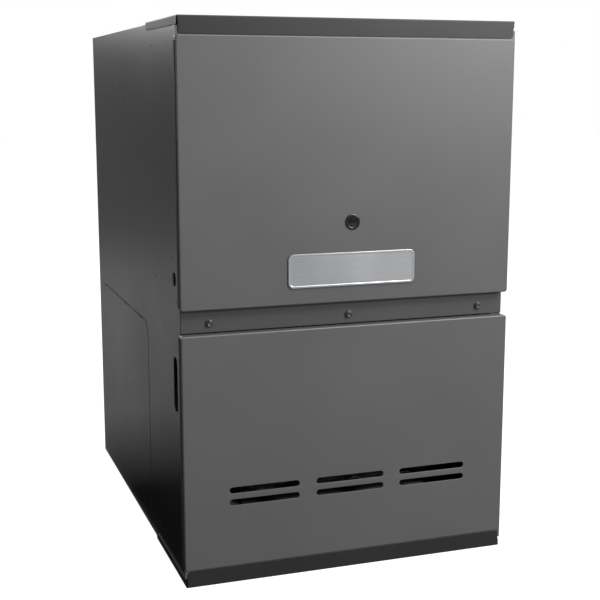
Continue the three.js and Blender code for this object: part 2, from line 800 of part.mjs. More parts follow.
// ---- plugs in the right side panel ----
function wiringPlug() {
  const outside = panelHalf + seatGap;
  const head = bar("x", wiringHoleRadius + plugFlange, outside, outside + plugHead, 0, 0);
  const end = innerHalf - plugNeck;
  const neck = bar("x", wiringHoleRadius - seatGap, end, outside + plugHead / 2, 0, 0);
  return head.add(neck);
}

function gasSlotPlug() {
  const outside = panelHalf + seatGap;
  const grow = 2 * plugFlange;
  const corner = gasSlotCorner;
  const cover = roundedRectangle(0, 0, gasSlotWidth + grow, gasSlotLength + grow, corner + plugFlange);
  const shrink = 2 * seatGap;
  const neck = roundedRectangle(0, 0, gasSlotWidth - shrink, gasSlotLength - shrink, corner - seatGap);
  const head = prism(cover, "x", outside, outside + plugHead, 4);
  return head.add(prism(neck, "x", innerHalf - plugNeck, outside + plugHead / 2, 4));
}

// ---- blower; Y and Z are measured from the wheel's axis ----
function scrollOutline(inset, bottom) {
  const steps = 20;
  const points = [];
  const throatFront = scrollLeast * Math.cos(cutoffAngle) + inset;
  const throatBack = scrollMost - inset;
  points.push([throatFront, bottom]);
  for (let i = 0; i <= steps; i += 1) {
    const angle = cutoffAngle * (1 - i / steps);
    const radius = scrollLeast + ((scrollMost - scrollLeast) * i) / steps - inset;
    const y = radius * Math.cos(angle);
    points.push([i ? y : Math.max(y, throatFront), radius * Math.sin(angle)]);
  }
  points.push([throatBack, bottom]);
  return outlineShape(points.reverse());
}

function blowerHousing() {
  const bottom = -blowerAxisRise;
  const half = scrollHalfWidth;
  let housing = prism(scrollOutline(0, bottom), "x", -half, half);
  const front = scrollLeast * Math.cos(cutoffAngle) - housingFlange;
  const back = scrollMost + housingFlange;
  const foot = half + housingFlange;
  housing = housing.add(block(-foot, foot, front, back, bottom, bottom + sheet));
  for (const side of [-1, 1]) {
    const from = side < 0 ? -half - inletLip : half - sheet;
    const collar = inletRadius + inletCollar;
    housing = housing.add(bar("x", collar, from, from + inletLip + sheet, 0, 0, 28));
  }
  const inside = prism(scrollOutline(sheet, bottom - 1), "x", sheet - half, half - sheet);
  const end = half + inletLip + 1;
  return housing.subtract(inside).subtract(bore("x", inletRadius, -end, end, 0, 0, 28));
}

function curvedBlade(inner, outer, thickness, lean) {
  const side = (offset) =>
    [0, 1].map((t) => {
      const radius = inner + (outer - inner) * t;
      const angle = lean * t * t;
      const y = radius * Math.cos(angle) - offset * Math.sin(angle);
      return [y, radius * Math.sin(angle) + offset * Math.cos(angle)];
    });
  return outlineShape([...side(-thickness / 2), ...side(thickness / 2).reverse()]);
}

function blowerWheel() {
  const inner = wheelRadius - wheelBladeDepth;
  const half = wheelHalfWidth;
  let wheel = bar("x", wheelRadius, -wheelDisc / 2, wheelDisc / 2, 0, 0, 40);
  wheel = wheel.add(bar("x", hubRadius, -hubHalfLength, hubHalfLength, 0, 0, 16));
  for (const from of [-half, half - wheelRing]) {
    wheel = wheel.add(ring("x", wheelRadius, inner, from, from + wheelRing, 0, 0, 40));
  }
  const outline = curvedBlade(inner + 0.5, wheelRadius - 1, bladeThickness, bladeLean);
  const bladeEnd = half - wheelRing / 2;
  const blade = prism(outline, "x", -bladeEnd, bladeEnd);
  for (let i = 0; i < wheelBlades; i += 1) {
    wheel = wheel.add(blade.rotate([(360 * i) / wheelBlades, 0, 0]));
  }
  const hubEnd = hubHalfLength + 1;
  return wheel.subtract(bore("x", shaftRadius + seatGap, -hubEnd, hubEnd, 0, 0, 16));
}

function blowerMotor() {
  const end = bossLength + bellLength;
  const bell = motorRadius - bellInset;
  let motor = bar("x", motorRadius, motorOuter + end, motorInner - end, 0, 0, 20);
  motor = motor.add(bar("x", bell, motorOuter + bossLength, motorInner - bossLength, 0, 0, 20));
  motor = motor.add(bar("x", bossRadius, motorOuter, motorInner, 0, 0, 20));
  const middle = (motorInner + motorOuter) / 2;
  return motor.subtract(bore("x", shaftRadius + shaftClearance, middle, motorInner + 1, 0, 0, 16));
}

function motorMount() {
  const middle = -scrollHalfWidth - inletLip - seatGap - bandWidth / 2;
  const bandInner = motorRadius + seatGap;
  const bandOuter = bandInner + bandThickness;
  const bandStart = middle - bandWidth / 2;
  let mount = ring("x", bandOuter, bandInner, bandStart, bandStart + bandWidth, 0, 0, 28);
  const armEnd = inletRadius + mountFootEnd;
  const wide = mountArmWidth / 2;
  const thick = mountArmThickness / 2;
  const armStart = bandInner + bandThickness / 2;
  const arm = block(middle - thick, middle + thick, -wide, wide, armStart, armEnd);
  const footStart = inletRadius + mountFootStart;
  const footEnd = -scrollHalfWidth - seatGap;
  const foot = block(middle - thick, footEnd, -wide, wide, footStart, armEnd);
  for (let i = 0; i < mountArms; i += 1) {
    const turn = (360 * i) / mountArms;
    mount = mount.add(arm.add(foot).rotate([turn, 0, 0]));
  }
  return mount;
}

// ---- draught inducer; X and Z are measured from its axis ----
function inducerOutline(inset, top) {
  const steps = 18;
  const points = [];
  const outletLeft = outletAcross + inset;
  const outletFoot = Math.sqrt(Math.max((inducerLeast - inset) ** 2 - outletLeft ** 2, 0));
  const spiral = (i) => {
    const turned = ((2 * Math.PI - inducerCutoff) * i) / steps;
    const angle = inducerCutoff + turned;
    const radius = inducerLeast + inducerGrowth * turned - inset;
    return [radius * Math.cos(angle), radius * Math.sin(angle)];
  };
  points.push([outletLeft, top]);
  points.push([outletLeft, outletFoot]);
  for (let i = 0; i <= steps; i += 1) points.push(spiral(i));
  points.push([inducerMost - inset, top]);
  return outlineShape(points);
}

function inducerHousing() {
  const top = inducerTop - inducerHeight;
  const shoulder = top - outletDrop;
  const wall = inducerWall;
  let housing = prism(inducerOutline(0, shoulder), "y", inducerFront, inducerBack);
  const flueX = flueAcross - inducerAcross;
  housing = housing.add(bar("z", pipeRadius, shoulder - 2, top - seatGap, flueX, flueBack, 24));
  const collar = pipeRadius + outletCollar;
  housing = housing.add(bar("z", collar, shoulder - outletCollar, shoulder + 1, flueX, flueBack, 24));
  const portStart = -inducerSide - hosePortLength;
  const portEnd = 2 * wall - inducerSide;
  const portBack = inducerFront + inducerPortBack;
  housing = housing.add(bar("x", hosePortRadius, portStart, portEnd, portBack, inducerPortRise, 10));
  const hollow = inducerOutline(wall, shoulder - outletCollar - 1);
  housing = housing.subtract(prism(hollow, "y", inducerFront + wall, inducerBack - wall));
  const outlet = pipeRadius - outletLand;
  housing = housing.subtract(bore("z", outlet, shoulder - 3 * outletDrop, top + 1, flueX, flueBack, 24));
  housing = housing.subtract(bore("y", inducerInlet, inducerBack - 4, inducerBack + 1, 0, 0, 24));
  const shaftHole = inducerShaftRadius + shaftClearance + 2;
  return housing.subtract(bore("y", shaftHole, inducerFront - 1, inducerFront + 4, 0, 0, 12));
}

function inducerWheel() {
  const start = inducerFront + inducerWheelStart;
  const end = start + inducerWheelWidth;
  const shaftStart = inducerFront - inducerShaftInMotor;
  const thick = inducerBladeThickness / 2;
  let wheel = bar("y", inducerWheelRadius, start, start + inducerDisc, 0, 0, 28);
  wheel = wheel.add(bar("y", inducerHub, start, end - 4, 0, 0, 14));
  wheel = wheel.add(bar("y", inducerShaftRadius, shaftStart, start + 1, 0, 0, 12));
  for (let i = 0; i < inducerBlades; i += 1) {
    const blade = block(inducerHub - 1, inducerWheelRadius - 1, start + 1, end, -thick, thick);
    wheel = wheel.add(blade.rotate([0, (360 * i) / inducerBlades, 0]));
  }
  return wheel;
}

function inducerMotor() {
  const end = inducerFront - seatGap;
  const start = end - inducerMotorLength;
  const half = inducerMotorRadius * coreShare;
  let motor = bar("y", inducerMotorRadius * canShare, start, end, 0, 0, 24);
  motor = motor.add(block(-half, half, start + coreFront, end - coreBack, -half, inducerMotorRadius));
  motor = motor.add(bar("y", inducerMotorRadius, end - motorFlange, end, 0, 0, 24));
  const boreStart = end - inducerShaftInMotor - 4;
  return motor.subtract(bore("y", inducerShaftRadius + shaftClearance, boreStart, end + 1, 0, 0, 12));
}

function collectorBox() {
  const back = vestibuleFront;
  const front = back - collectorDepth;
  const half = collectorHalfWidth;
  const edge = half + collectorFlange;
  const low = collectorBottom - collectorFlange;
  const high = collectorTop + collectorFlange;
  const inside = half - sheet;
  let box = block(-half, half, front, back, collectorBottom, collectorTop);
  box = box.add(block(-edge, edge, back - sheet, back, low, high));
  const floor = collectorBottom + sheet;
  const roof = collectorTop - sheet;
  box = box.subtract(block(-inside, inside, front + sheet, back + 1, floor, roof));
  return box.subtract(bore("y", inducerInlet, front - 1, front + 2, inducerAcross, inducerHeight, 24));
}

// ---- heat exchanger and burners ----
function exchangerTube() {
  const high = tubeLow + tubePassPitch;
  const higher = high + tubePassPitch;
  const bend = tubePassPitch / 2;
  const rear = tubeRearBend + bend;
  const front = tubeFrontBend - bend;
  const corners = [
    [0, vestibuleBack, tubeLow],
    [0, rear, tubeLow],
    [0, rear, high],
    [0, front, high],
    [0, front, higher],
    [0, rear, higher],
    [0, rear, tubeTop],
    [0, vestibuleBack, tubeTop],
  ];
  return bentTube(corners, bend, tubeRadius, tubeRadius - tubeWall, tubeSides);
}

function exchangerSupport() {
  const top = tubeLow - tubeRadius * Math.cos(Math.PI / tubeSides) - seatGap;
  let support = block(-fitHalf, fitHalf, supportBack, supportBack + supportDepth, top - sheet, top);
  return support.add(block(-fitHalf, fitHalf, supportBack, supportBack + sheet, top - supportDepth, top));
}

function burner() {
  const length = burnerEnd - burnerStart;
  const inner = [
    [burnerMouth, 0],
    [burnerThroat, length * throatStart],
    [burnerThroat, length * throatEnd],
    [burnerHead, length * headStart],
    [burnerHead, length],
  ];
  const outer = inner.map(([radius, back]) => [radius + burnerWall, back]);
  return turnedAlongY([...outer, ...inner.reverse(), outer[0]], 12);
}

function burnerRack() {
  const low = rackBottom;
  const high = rackTop;
  let rack = block(-rackHalfWidth, rackHalfWidth, rackBack, rackBack + sheet, low, high);
  const back = vestibuleFront;
  const through = rackBack + sheet + 1;
  for (const side of [-1, 1]) {
    const inside = side < 0 ? -rackHalfWidth : rackHalfWidth - sheet;
    const foot = side < 0 ? -rackHalfWidth - rackFoot : rackHalfWidth - sheet;
    rack = rack.add(block(inside, inside + sheet, rackFront, back, low, high));
    rack = rack.add(block(foot, foot + rackFoot + sheet, back - sheet, back, low, high));
    const end = inside + sheet + 1;
    const pipeHole = manifoldRadius + 1;
    rack = rack.subtract(bore("x", pipeHole, inside - 1, end, manifoldBack, tubeLow, 12));
    const x = side * probeAcross;
    rack = rack.subtract(bore("y", probeRadius + seatGap, rackBack - 1, through, x, probeHeight, 8));
  }
  const hole = burnerThroat + burnerWall + seatGap;
  for (const x of tubeAcross) {
    rack = rack.subtract(bore("y", hole, rackBack - 1, through, x, tubeLow, 12));
  }
  return rack;
}

function flameProbe() {
  // ceramic body through the rack, with a rod towards the flame
  const body = bar("y", probeRadius, rackBack - probeFront, rackBack + probeRear, 0, 0, 12);
  const collarStart = rackBack - collarLength;
  const collar = bar("y", probeRadius + probeCollar, collarStart, rackBack - seatGap, 0, 0, 12);
  const rod = bar("y", rodRadius, rackBack + rodStart, rackBack + rodEnd, 0, -rodDrop, 8);
  return body.add(collar).add(rod);
}

function manifoldPipe() {
  const left = valveAcross;
  const right = rackHalfWidth + manifoldEnd;
  const tip = manifoldBack + orificeReach;
  const top = valveBottom - valveOutletLength - seatGap;
  const corners = [
    [right, manifoldBack, tubeLow],
    [left, manifoldBack, tubeLow],
    [left, manifoldBack, top],
  ];
  let pipe = bentTube(corners, manifoldBend, manifoldRadius, 0, 16);
  for (const x of tubeAcross) {
    pipe = pipe.add(bar("y", orificeRadius, manifoldBack, tip, x, tubeLow, 10));
    pipe = pipe.subtract(bore("y", orificeBore, tip - orificeDepth, tip + 1, x, tubeLow, 8));
  }
  return pipe;
}

function gasValve() {
  const half = valveHalfWidth;
  const high = valveBottom + valveHeight;
  const left = valveAcross - half;
  const right = valveAcross + half;
  const step = high - valveCapHeight;
  const capLeft = left + valveCapSide;
  const capRight = right - valveCapSide;
  const capFront = valveFront + valveCapFront;
  const capBack = valveBack - valveCapBack;
  let valve = block(left, right, valveFront, valveBack, valveBottom, step);
  valve = valve.add(block(capLeft, capRight, capFront, capBack, step - 1, high));
  const port = left - valvePortLength;
  const portEnd = left + valveBoreDepth;
  valve = valve.add(bar("x", valvePortRadius, port, left + 2, gasSlotBack, gasSlotHeight, 16));
  valve = valve.subtract(bore("x", valvePortBore, port - 1, portEnd, gasSlotBack, gasSlotHeight, 16));
  const outletEnd = valveBottom - valveOutletLength;
  const outlet = bar("z", valveOutletRadius, outletEnd, valveBottom + 2, valveAcross, manifoldBack, 6);
  const stemEnd = valveFront + knobStemLength + 2;
  const stemHole = knobStemRadius + seatGap;
  const stem = bore("y", stemHole, valveFront - 1, stemEnd, valveAcross, gasSlotHeight, 12);
  return valve.add(outlet).subtract(stem);
}

function gasKnob() {
  // local Y = 0 on the valve's front face
  const face = -seatGap - knobLength;
  const gripHalf = knobRadius - 1;
  const knob = bar("y", knobRadius, face, -seatGap, 0, 0, 18);
  const grip = block(-gripHalfWidth, gripHalfWidth, face - gripHeight, face + 1, -gripHalf, gripHalf);
  return knob.add(grip).add(bar("y", knobStemRadius, -1, knobStemLength, 0, 0, 12));
}

function pressureSwitch() {
  const back = vestibuleFront;
  const front = back - pressureSwitchDepth;
  const radius = pressureSwitchRadius;
  const ear = radius + strapReach;
  const tall = strapHalfHeight;
  const cap = bar("y", radius, front, back - strapThickness + 1, 0, 0, 24);
  const rim = bar("y", radius + pressureRim, front + rimFront, front + rimFront + rimWidth, 0, 0, 24);
  const strap = block(-ear, ear, back - strapThickness, back, -tall, tall);
  const port = bar("y", hosePortRadius, front - hosePortLength, front + 1, 0, switchPortRise, 10);
  return cap.add(rim).add(strap).add(port);
}

function rolloutSwitch() {
  const back = vestibuleFront;
  const [wide, tall] = rolloutHalf;
  const plate = block(-wide, wide, back - rolloutPlate, back, -tall, tall);
  return plate.add(bar("y", rolloutCanRadius, back - rolloutDepth, back - 1, 0, 0, 14));
}

function limitSwitch() {
  const back = vestibuleFront;
  const [wide, tall] = limitHalf;
  const [coverWide, coverTall] = limitCoverHalf;
  const plate = block(-wide, wide, back - limitPlate, back, -tall, tall);
  const cover = block(-coverWide, coverWide, back - limitDepth, back - 1, -coverTall, coverTall);
  return plate.add(cover);
}

function boxShell(x0, x1, y0, y1, z0, z1) {
  const outer = block(x0, x1, y0, y1, z0, z1);
  return outer.subtract(block(x0 + sheet, x1 - sheet, y0 + sheet, y1 - sheet, z0 + sheet, z1 - sheet));
}

// ---- controls ----
function controlBracket() {
  const low = deckTop + seatGap;
  const footEnd = bracketBack + bracketFoot;
  const start = bracketBack - boardStandoff;
  let bracket = block(bracketLeft, bracketRight, bracketBack, bracketBack + sheet, low, bracketTop);
  bracket = bracket.add(block(bracketLeft, bracketRight, bracketBack, footEnd, low, low + sheet));
  for (const x of [boardLeft + standoffInset, boardRight - standoffInset]) {
    for (const z of [boardBottom + standoffInset, boardTop - standoffInset]) {
      bracket = bracket.add(bar("y", standoffRadius, start, bracketBack + sheet / 2, x, z, 10));
    }
  }
  return bracket;
}

function controlBoard() {
  const back = bracketBack - boardStandoff - seatGap;
  const front = back - boardThickness;
  let board = block(boardLeft, boardRight, front, back, boardBottom, boardTop);
  for (const part of [relayLeft, relayRight, fuseHolder, terminals, processor, boardPlug]) {
    const x = boardLeft + part.left;
    const z = boardBottom + part.low;
    const start = front - part.depth;
    board = board.add(block(x, x + part.width, start, front + 0.5, z, z + part.height));
  }
  return board.add(bar("y", lampRadius, front - lampHeight, front + 0.5, 0, sightHoleHeight, 10));
}

function transformer() {
  const back = bracketBack - seatGap;
  const low = deckTop + seatGap + sheet + transformerRise;
  const left = bracketLeft + transformerInset;
  const right = left + transformerWidth;
  const high = low + transformerHeight;
  const front = back - transformerDepth;
  const margin = windingMargin;
  const ear = transformerEar;
  let body = block(left + windingInset, right - windingInset, front, back, low, high);
  body = body.add(block(left, right, front + margin, back - margin, low + margin, high - margin));
  return body.add(block(left - ear, right + ear, back - sheet, back, low, low + earHeight));
}

function junctionBox() {
  const box = boxShell(
    -fitHalf,
    -fitHalf + junctionWidth,
    junctionFront,
    junctionFront + junctionDepth,
    junctionBottom,
    junctionTop,
  );
  const end = -fitHalf + sheet + 1;
  return box.subtract(bore("x", wiringHoleRadius, -fitHalf - 1, end, wiringHoleBack, wiringHoleHeight, 20));
}

function capacitor() {
  const low = deckTop + seatGap;
  const high = low + capacitorHeight;
  const wide = bladeHalfWidth;
  let can = bar("z", capacitorRadius, low, high, 0, 0, 20);
  can = can.add(bar("z", capacitorRadius + canRim, high - canRimStart, high - canRimEnd, 0, 0, 20));
  for (const x of [-bladeSpacing, bladeSpacing]) {
    can = can.add(block(x - 0.5, x + 0.5, -wide, wide, high - 1, high + bladeHeight));
  }
  return can;
}

function capacitorStrap() {
  const low = deckTop + seatGap;
  const inner = capacitorRadius + seatGap;
  const outer = inner + sheet;
  const middle = low + capacitorHeight / 2;
  const half = strapHalfWidth;
  const start = middle - half;
  const leg = outer + strapTab;
  let strap = ring("z", outer, inner, start, middle + half, 0, 0, 20);
  strap = strap.add(block(outer - 1, leg, -half, half, start, start + sheet));
  strap = strap.add(block(leg - sheet, leg, -half, half, low, start + sheet));
  return strap.add(block(leg - sheet, leg + strapFoot, -half, half, low, low + sheet));
}

function switchBody() {
  const front = railFront + sheet + seatGap;
  const back = front + switchLength;
  const wide = switchHalfWidth;
  const tall = switchHalfHeight;
  let body = block(-wide, wide, front, back, -tall, tall);
  for (const x of [-tabSpacing, tabSpacing]) {
    body = body.add(block(x - tabHalfWidth, x + tabHalfWidth, back - 1, back + tabLength, -0.5, 0.5));
  }
  const boreEnd = plungerTip + plungerReach + 1;
  return body.subtract(bore("y", plungerRadius + seatGap, front - 1, boreEnd, 0, 0, 12));
}

function switchPlunger() {
  return bar("y", plungerRadius, plungerTip, plungerTip + plungerReach, 0, 0, 12);
}

// ---- wiring and hose ----
function wiringHarness() {
  const boardFront = bracketBack - boardStandoff - seatGap - boardThickness;
  const plug = boardBottom + terminals.low + terminals.height / 2;
  const valveTop = valveBottom + valveHeight + harnessRadius + seatGap;
  const corners = [
    [harnessAcross, boardFront - terminals.depth - seatGap, plug],
    [harnessAcross, harnessBack, plug],
    [harnessAcross, harnessBack, valveTop + harnessFall],
    [valveAcross + harnessSide, harnessValveBack, valveTop],
    [valveAcross - harnessOver, harnessValveBack, valveTop],
  ];
  return bentTube(corners, harnessBend, harnessRadius, 0, 8, 3);
}

function pressureHose() {
  const start = vestibuleFront - pressureSwitchDepth - hosePortLength - seatGap;
  const end = inducerAcross - inducerSide - hosePortLength - seatGap;
  const back = inducerFront + inducerPortBack;
  const low = pressureSwitchHeight + switchPortRise;
  const high = inducerHeight + inducerPortRise;
  const corners = [
    [pressureSwitchAcross, start, low],
    [pressureSwitchAcross, back, low],
    [pressureSwitchAcross, back, high],
    [end, back, high],
  ];
  return bentTube(corners, hoseBend, hoseRadius, 0, 8, 4);
}

// ---- assembly ----
const furnace = new THREE.Group();
const cabinet = groupAt(furnace, 0, frontFace, 0);

place(cabinet, "left_side_panel", sidePanel(-1), "cabinetPaint");
place(cabinet, "right_side_panel", sidePanel(1), "cabinetPaint");
place(cabinet, "back_panel", backPanel(), "cabinetPaint");
place(cabinet, "top_front_trim", topTrim(), "trimPaint");
place(cabinet, "bottom_front_trim", frontTrim(0, 1), "trimPaint");
place(cabinet, "return_air_frame", ductFrame(cabinetHeight, -1), "galvanised");
place(cabinet, "supply_air_frame", ductFrame(0, 1), "galvanised");
place(cabinet, "center_rail", centerRail(), "galvanised");
place(cabinet, "blower_deck", blowerDeck(), "galvanised");
place(cabinet, "vestibule_panel", vestibulePanel(), "galvanised");
place(cabinet, "wiring_hole_plug", wiringPlug(), "blackPlastic", 0, wiringHoleBack, wiringHoleHeight);
place(cabinet, "gas_slot_plug", gasSlotPlug(), "blackPlastic", 0, gasSlotBack, gasSlotHeight);

const upperDoorGroup = groupAt(cabinet, 0, 0, 0);
place(upperDoorGroup, "upper_door", upperDoor(), "doorPaint");
place(upperDoorGroup, "upper_door_liner", doorLiner(), "liner");
place(upperDoorGroup, "sight_glass_bezel", sightBezel(), "rubber", 0, 0, sightHoleHeight);
place(upperDoorGroup, "sight_glass_lens", sightLens(), "smokedPlastic", 0, 0, sightHoleHeight);
place(upperDoorGroup, "nameplate", namePlate(), "castAluminium", 0, 0, plateBottom + plateHeight / 2);
["left", "middle", "right"].forEach((side, i) => {
  const x = (i - 1) * doorScrewSpacing;
  place(upperDoorGroup, `door_screw_${side}`, doorScrew(), "zincScrew", x, grooveFace, doorScrewHeight);
});
place(cabinet, "lower_door", lowerDoor(), "doorPaint");

const blower = groupAt(cabinet, 0, blowerAxisBack, blowerAxisHeight);
place(blower, "blower_housing", blowerHousing(), "galvanised");
place(blower, "blower_wheel", blowerWheel(), "galvanised");
const blowerShaft = bar("x", shaftRadius, motorInner - shaftInMotor, shaftEnd, 0, 0, 16);
place(blower, "blower_shaft", blowerShaft, "zincScrew");
place(blower, "blower_motor", blowerMotor(), "motorPaint");
place(blower, "blower_motor_mount", motorMount(), "galvanised");

const ventPipe = ring("z", pipeRadius, pipeRadius - pipeWall, inducerTop, cabinetHeight, 0, 0, 24);
place(cabinet, "vent_pipe", ventPipe, "galvanised", flueAcross, flueBack, 0);
const inducer = groupAt(cabinet, inducerAcross, 0, inducerHeight);
place(inducer, "inducer_housing", inducerHousing(), "blackPlastic");
place(inducer, "inducer_wheel", inducerWheel(), "galvanised");
place(inducer, "inducer_motor", inducerMotor(), "motorPaint");
place(cabinet, "collector_box", collectorBox(), "aluminised");

tubeAcross.forEach((x, i) => {
  place(cabinet, `heat_exchanger_tube_${i + 1}`, exchangerTube(), "aluminised", x);
  place(cabinet, `burner_${i + 1}`, burner(), "aluminised", x, burnerStart, tubeLow);
});
place(cabinet, "heat_exchanger_support", exchangerSupport(), "galvanised");
place(cabinet, "burner_rack", burnerRack(), "galvanised");
place(cabinet, "flame_sensor", flameProbe(), "ceramic", -probeAcross, 0, probeHeight);
place(cabinet, "hot_surface_ignitor", flameProbe(), "ceramic", probeAcross, 0, probeHeight);
place(cabinet, "gas_manifold", manifoldPipe(), "blackPipe");
place(cabinet, "gas_valve", gasValve(), "castAluminium");
place(cabinet, "gas_valve_knob", gasKnob(), "blackPlastic", valveAcross, valveFront, gasSlotHeight);
const switchPlace = [pressureSwitchAcross, 0, pressureSwitchHeight];
place(cabinet, "pressure_switch", pressureSwitch(), "blackPlastic", ...switchPlace);
place(cabinet, "pressure_hose", pressureHose(), "rubber");

place(cabinet, "rollout_switch", rolloutSwitch(), "ceramic", 0, 0, rolloutHeight);
place(cabinet, "limit_switch", limitSwitch(), "ceramic", limitSwitchAcross, 0, limitSwitchHeight);

place(cabinet, "control_bracket", controlBracket(), "galvanised");
place(cabinet, "control_board", controlBoard(), "board");
place(cabinet, "transformer", transformer(), "motorPaint");
place(cabinet, "junction_box", junctionBox(), "galvanised");
place(cabinet, "run_capacitor", capacitor(), "castAluminium", capacitorAcross, capacitorBack, 0);
place(cabinet, "capacitor_strap", capacitorStrap(), "galvanised", capacitorAcross, capacitorBack, 0);
place(cabinet, "door_switch_body", switchBody(), "blackPlastic", switchAcross, 0, switchHeight);
place(cabinet, "door_switch_plunger", switchPlunger(), "ceramic", switchAcross, 0, switchHeight);
place(cabinet, "wiring_harness", wiringHarness(), "rubber");

export default furnace;
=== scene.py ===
import math

import bmesh
import bpy
from mathutils import Matrix, Vector
from mathutils.geometry import tessellate_polygon


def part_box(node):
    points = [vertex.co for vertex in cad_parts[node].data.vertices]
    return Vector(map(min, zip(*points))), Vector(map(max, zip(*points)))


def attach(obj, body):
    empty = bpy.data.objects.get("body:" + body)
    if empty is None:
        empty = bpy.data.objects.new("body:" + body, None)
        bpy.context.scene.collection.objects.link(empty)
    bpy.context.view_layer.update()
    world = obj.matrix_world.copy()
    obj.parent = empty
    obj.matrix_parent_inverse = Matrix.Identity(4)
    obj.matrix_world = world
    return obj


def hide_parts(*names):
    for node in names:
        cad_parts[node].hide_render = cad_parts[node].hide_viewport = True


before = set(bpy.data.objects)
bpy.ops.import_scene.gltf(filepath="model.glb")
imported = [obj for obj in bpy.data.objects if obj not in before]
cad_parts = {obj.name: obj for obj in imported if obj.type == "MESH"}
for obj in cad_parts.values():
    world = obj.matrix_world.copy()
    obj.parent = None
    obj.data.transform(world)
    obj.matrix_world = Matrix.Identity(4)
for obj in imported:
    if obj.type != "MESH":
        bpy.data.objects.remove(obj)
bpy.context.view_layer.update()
scene = bpy.context.scene
scene.view_settings.view_transform = "Standard"

# Every piece is drawn in millimetres as (across, behind the door face, height),
# and turned to metres at the end.
mm = 0.001
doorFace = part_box("upper_door")[0].y
toFrame = Matrix.Translation((0, doorFace, 0)) @ Matrix.Scale(mm, 4)
sheet = 1.2  # the folded sheet metal's thickness


def sizeOf(node):  # across from-to, behind the face from-to, height from-to, in mm
    low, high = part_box(node)
    front, back = low.y - doorFace, high.y - doorFace
    return [round(v / mm, 3) for v in (low.x, high.x, front, back, low.z, high.z)]


def middleOf(node):
    x0, x1, y0, y1, z0, z1 = sizeOf(node)
    return Vector(((x0 + x1) / 2, (y0 + y1) / 2, (z0 + z1) / 2))


cameraLook = {"at": (-0.64511, -1.99147, 0.74656), "turn": 0.332215, "down": 0.179318, "lens": 69.976}
studioLook = {
    "background": 1.0, "ambient": 0.15,
    "key": {"at": (1.75, -2.5, 2.75), "aim": (0.15, -0.36, 0.7), "size": (1.1, 1.1), "watts": 128},
    "top": {"at": (0.3, -1.5, 3.2), "aim": (0.0, -0.3, 0.4), "size": (2.2, 1.0), "watts": 60},
    "glint": {"at": (1.9, -3.0, 1.45), "aim": (0.2, -0.36, 0.7), "size": (0.8, 0.6), "watts": 72},
    "back": {"at": (1.3, 3.1, 1.7), "aim": (0.0, 0.36, 0.45), "size": (1.6, 1.6), "watts": 55},
    "edge": {"at": (-2.6, -2.5, 1.0), "aim": (-0.27, -0.36, 0.5), "size": (0.35, 1.8), "watts": 20},
    "rear": {"at": (-0.9, 3.0, 1.8), "aim": (0.0, 0.3, 0.5), "size": (2.2, 1.6), "watts": 40},
    # black card on the floor, hidden from the camera
    "flag": {"across": (-0.62, -0.2675), "deep": (-1.0, 0.7)},
}


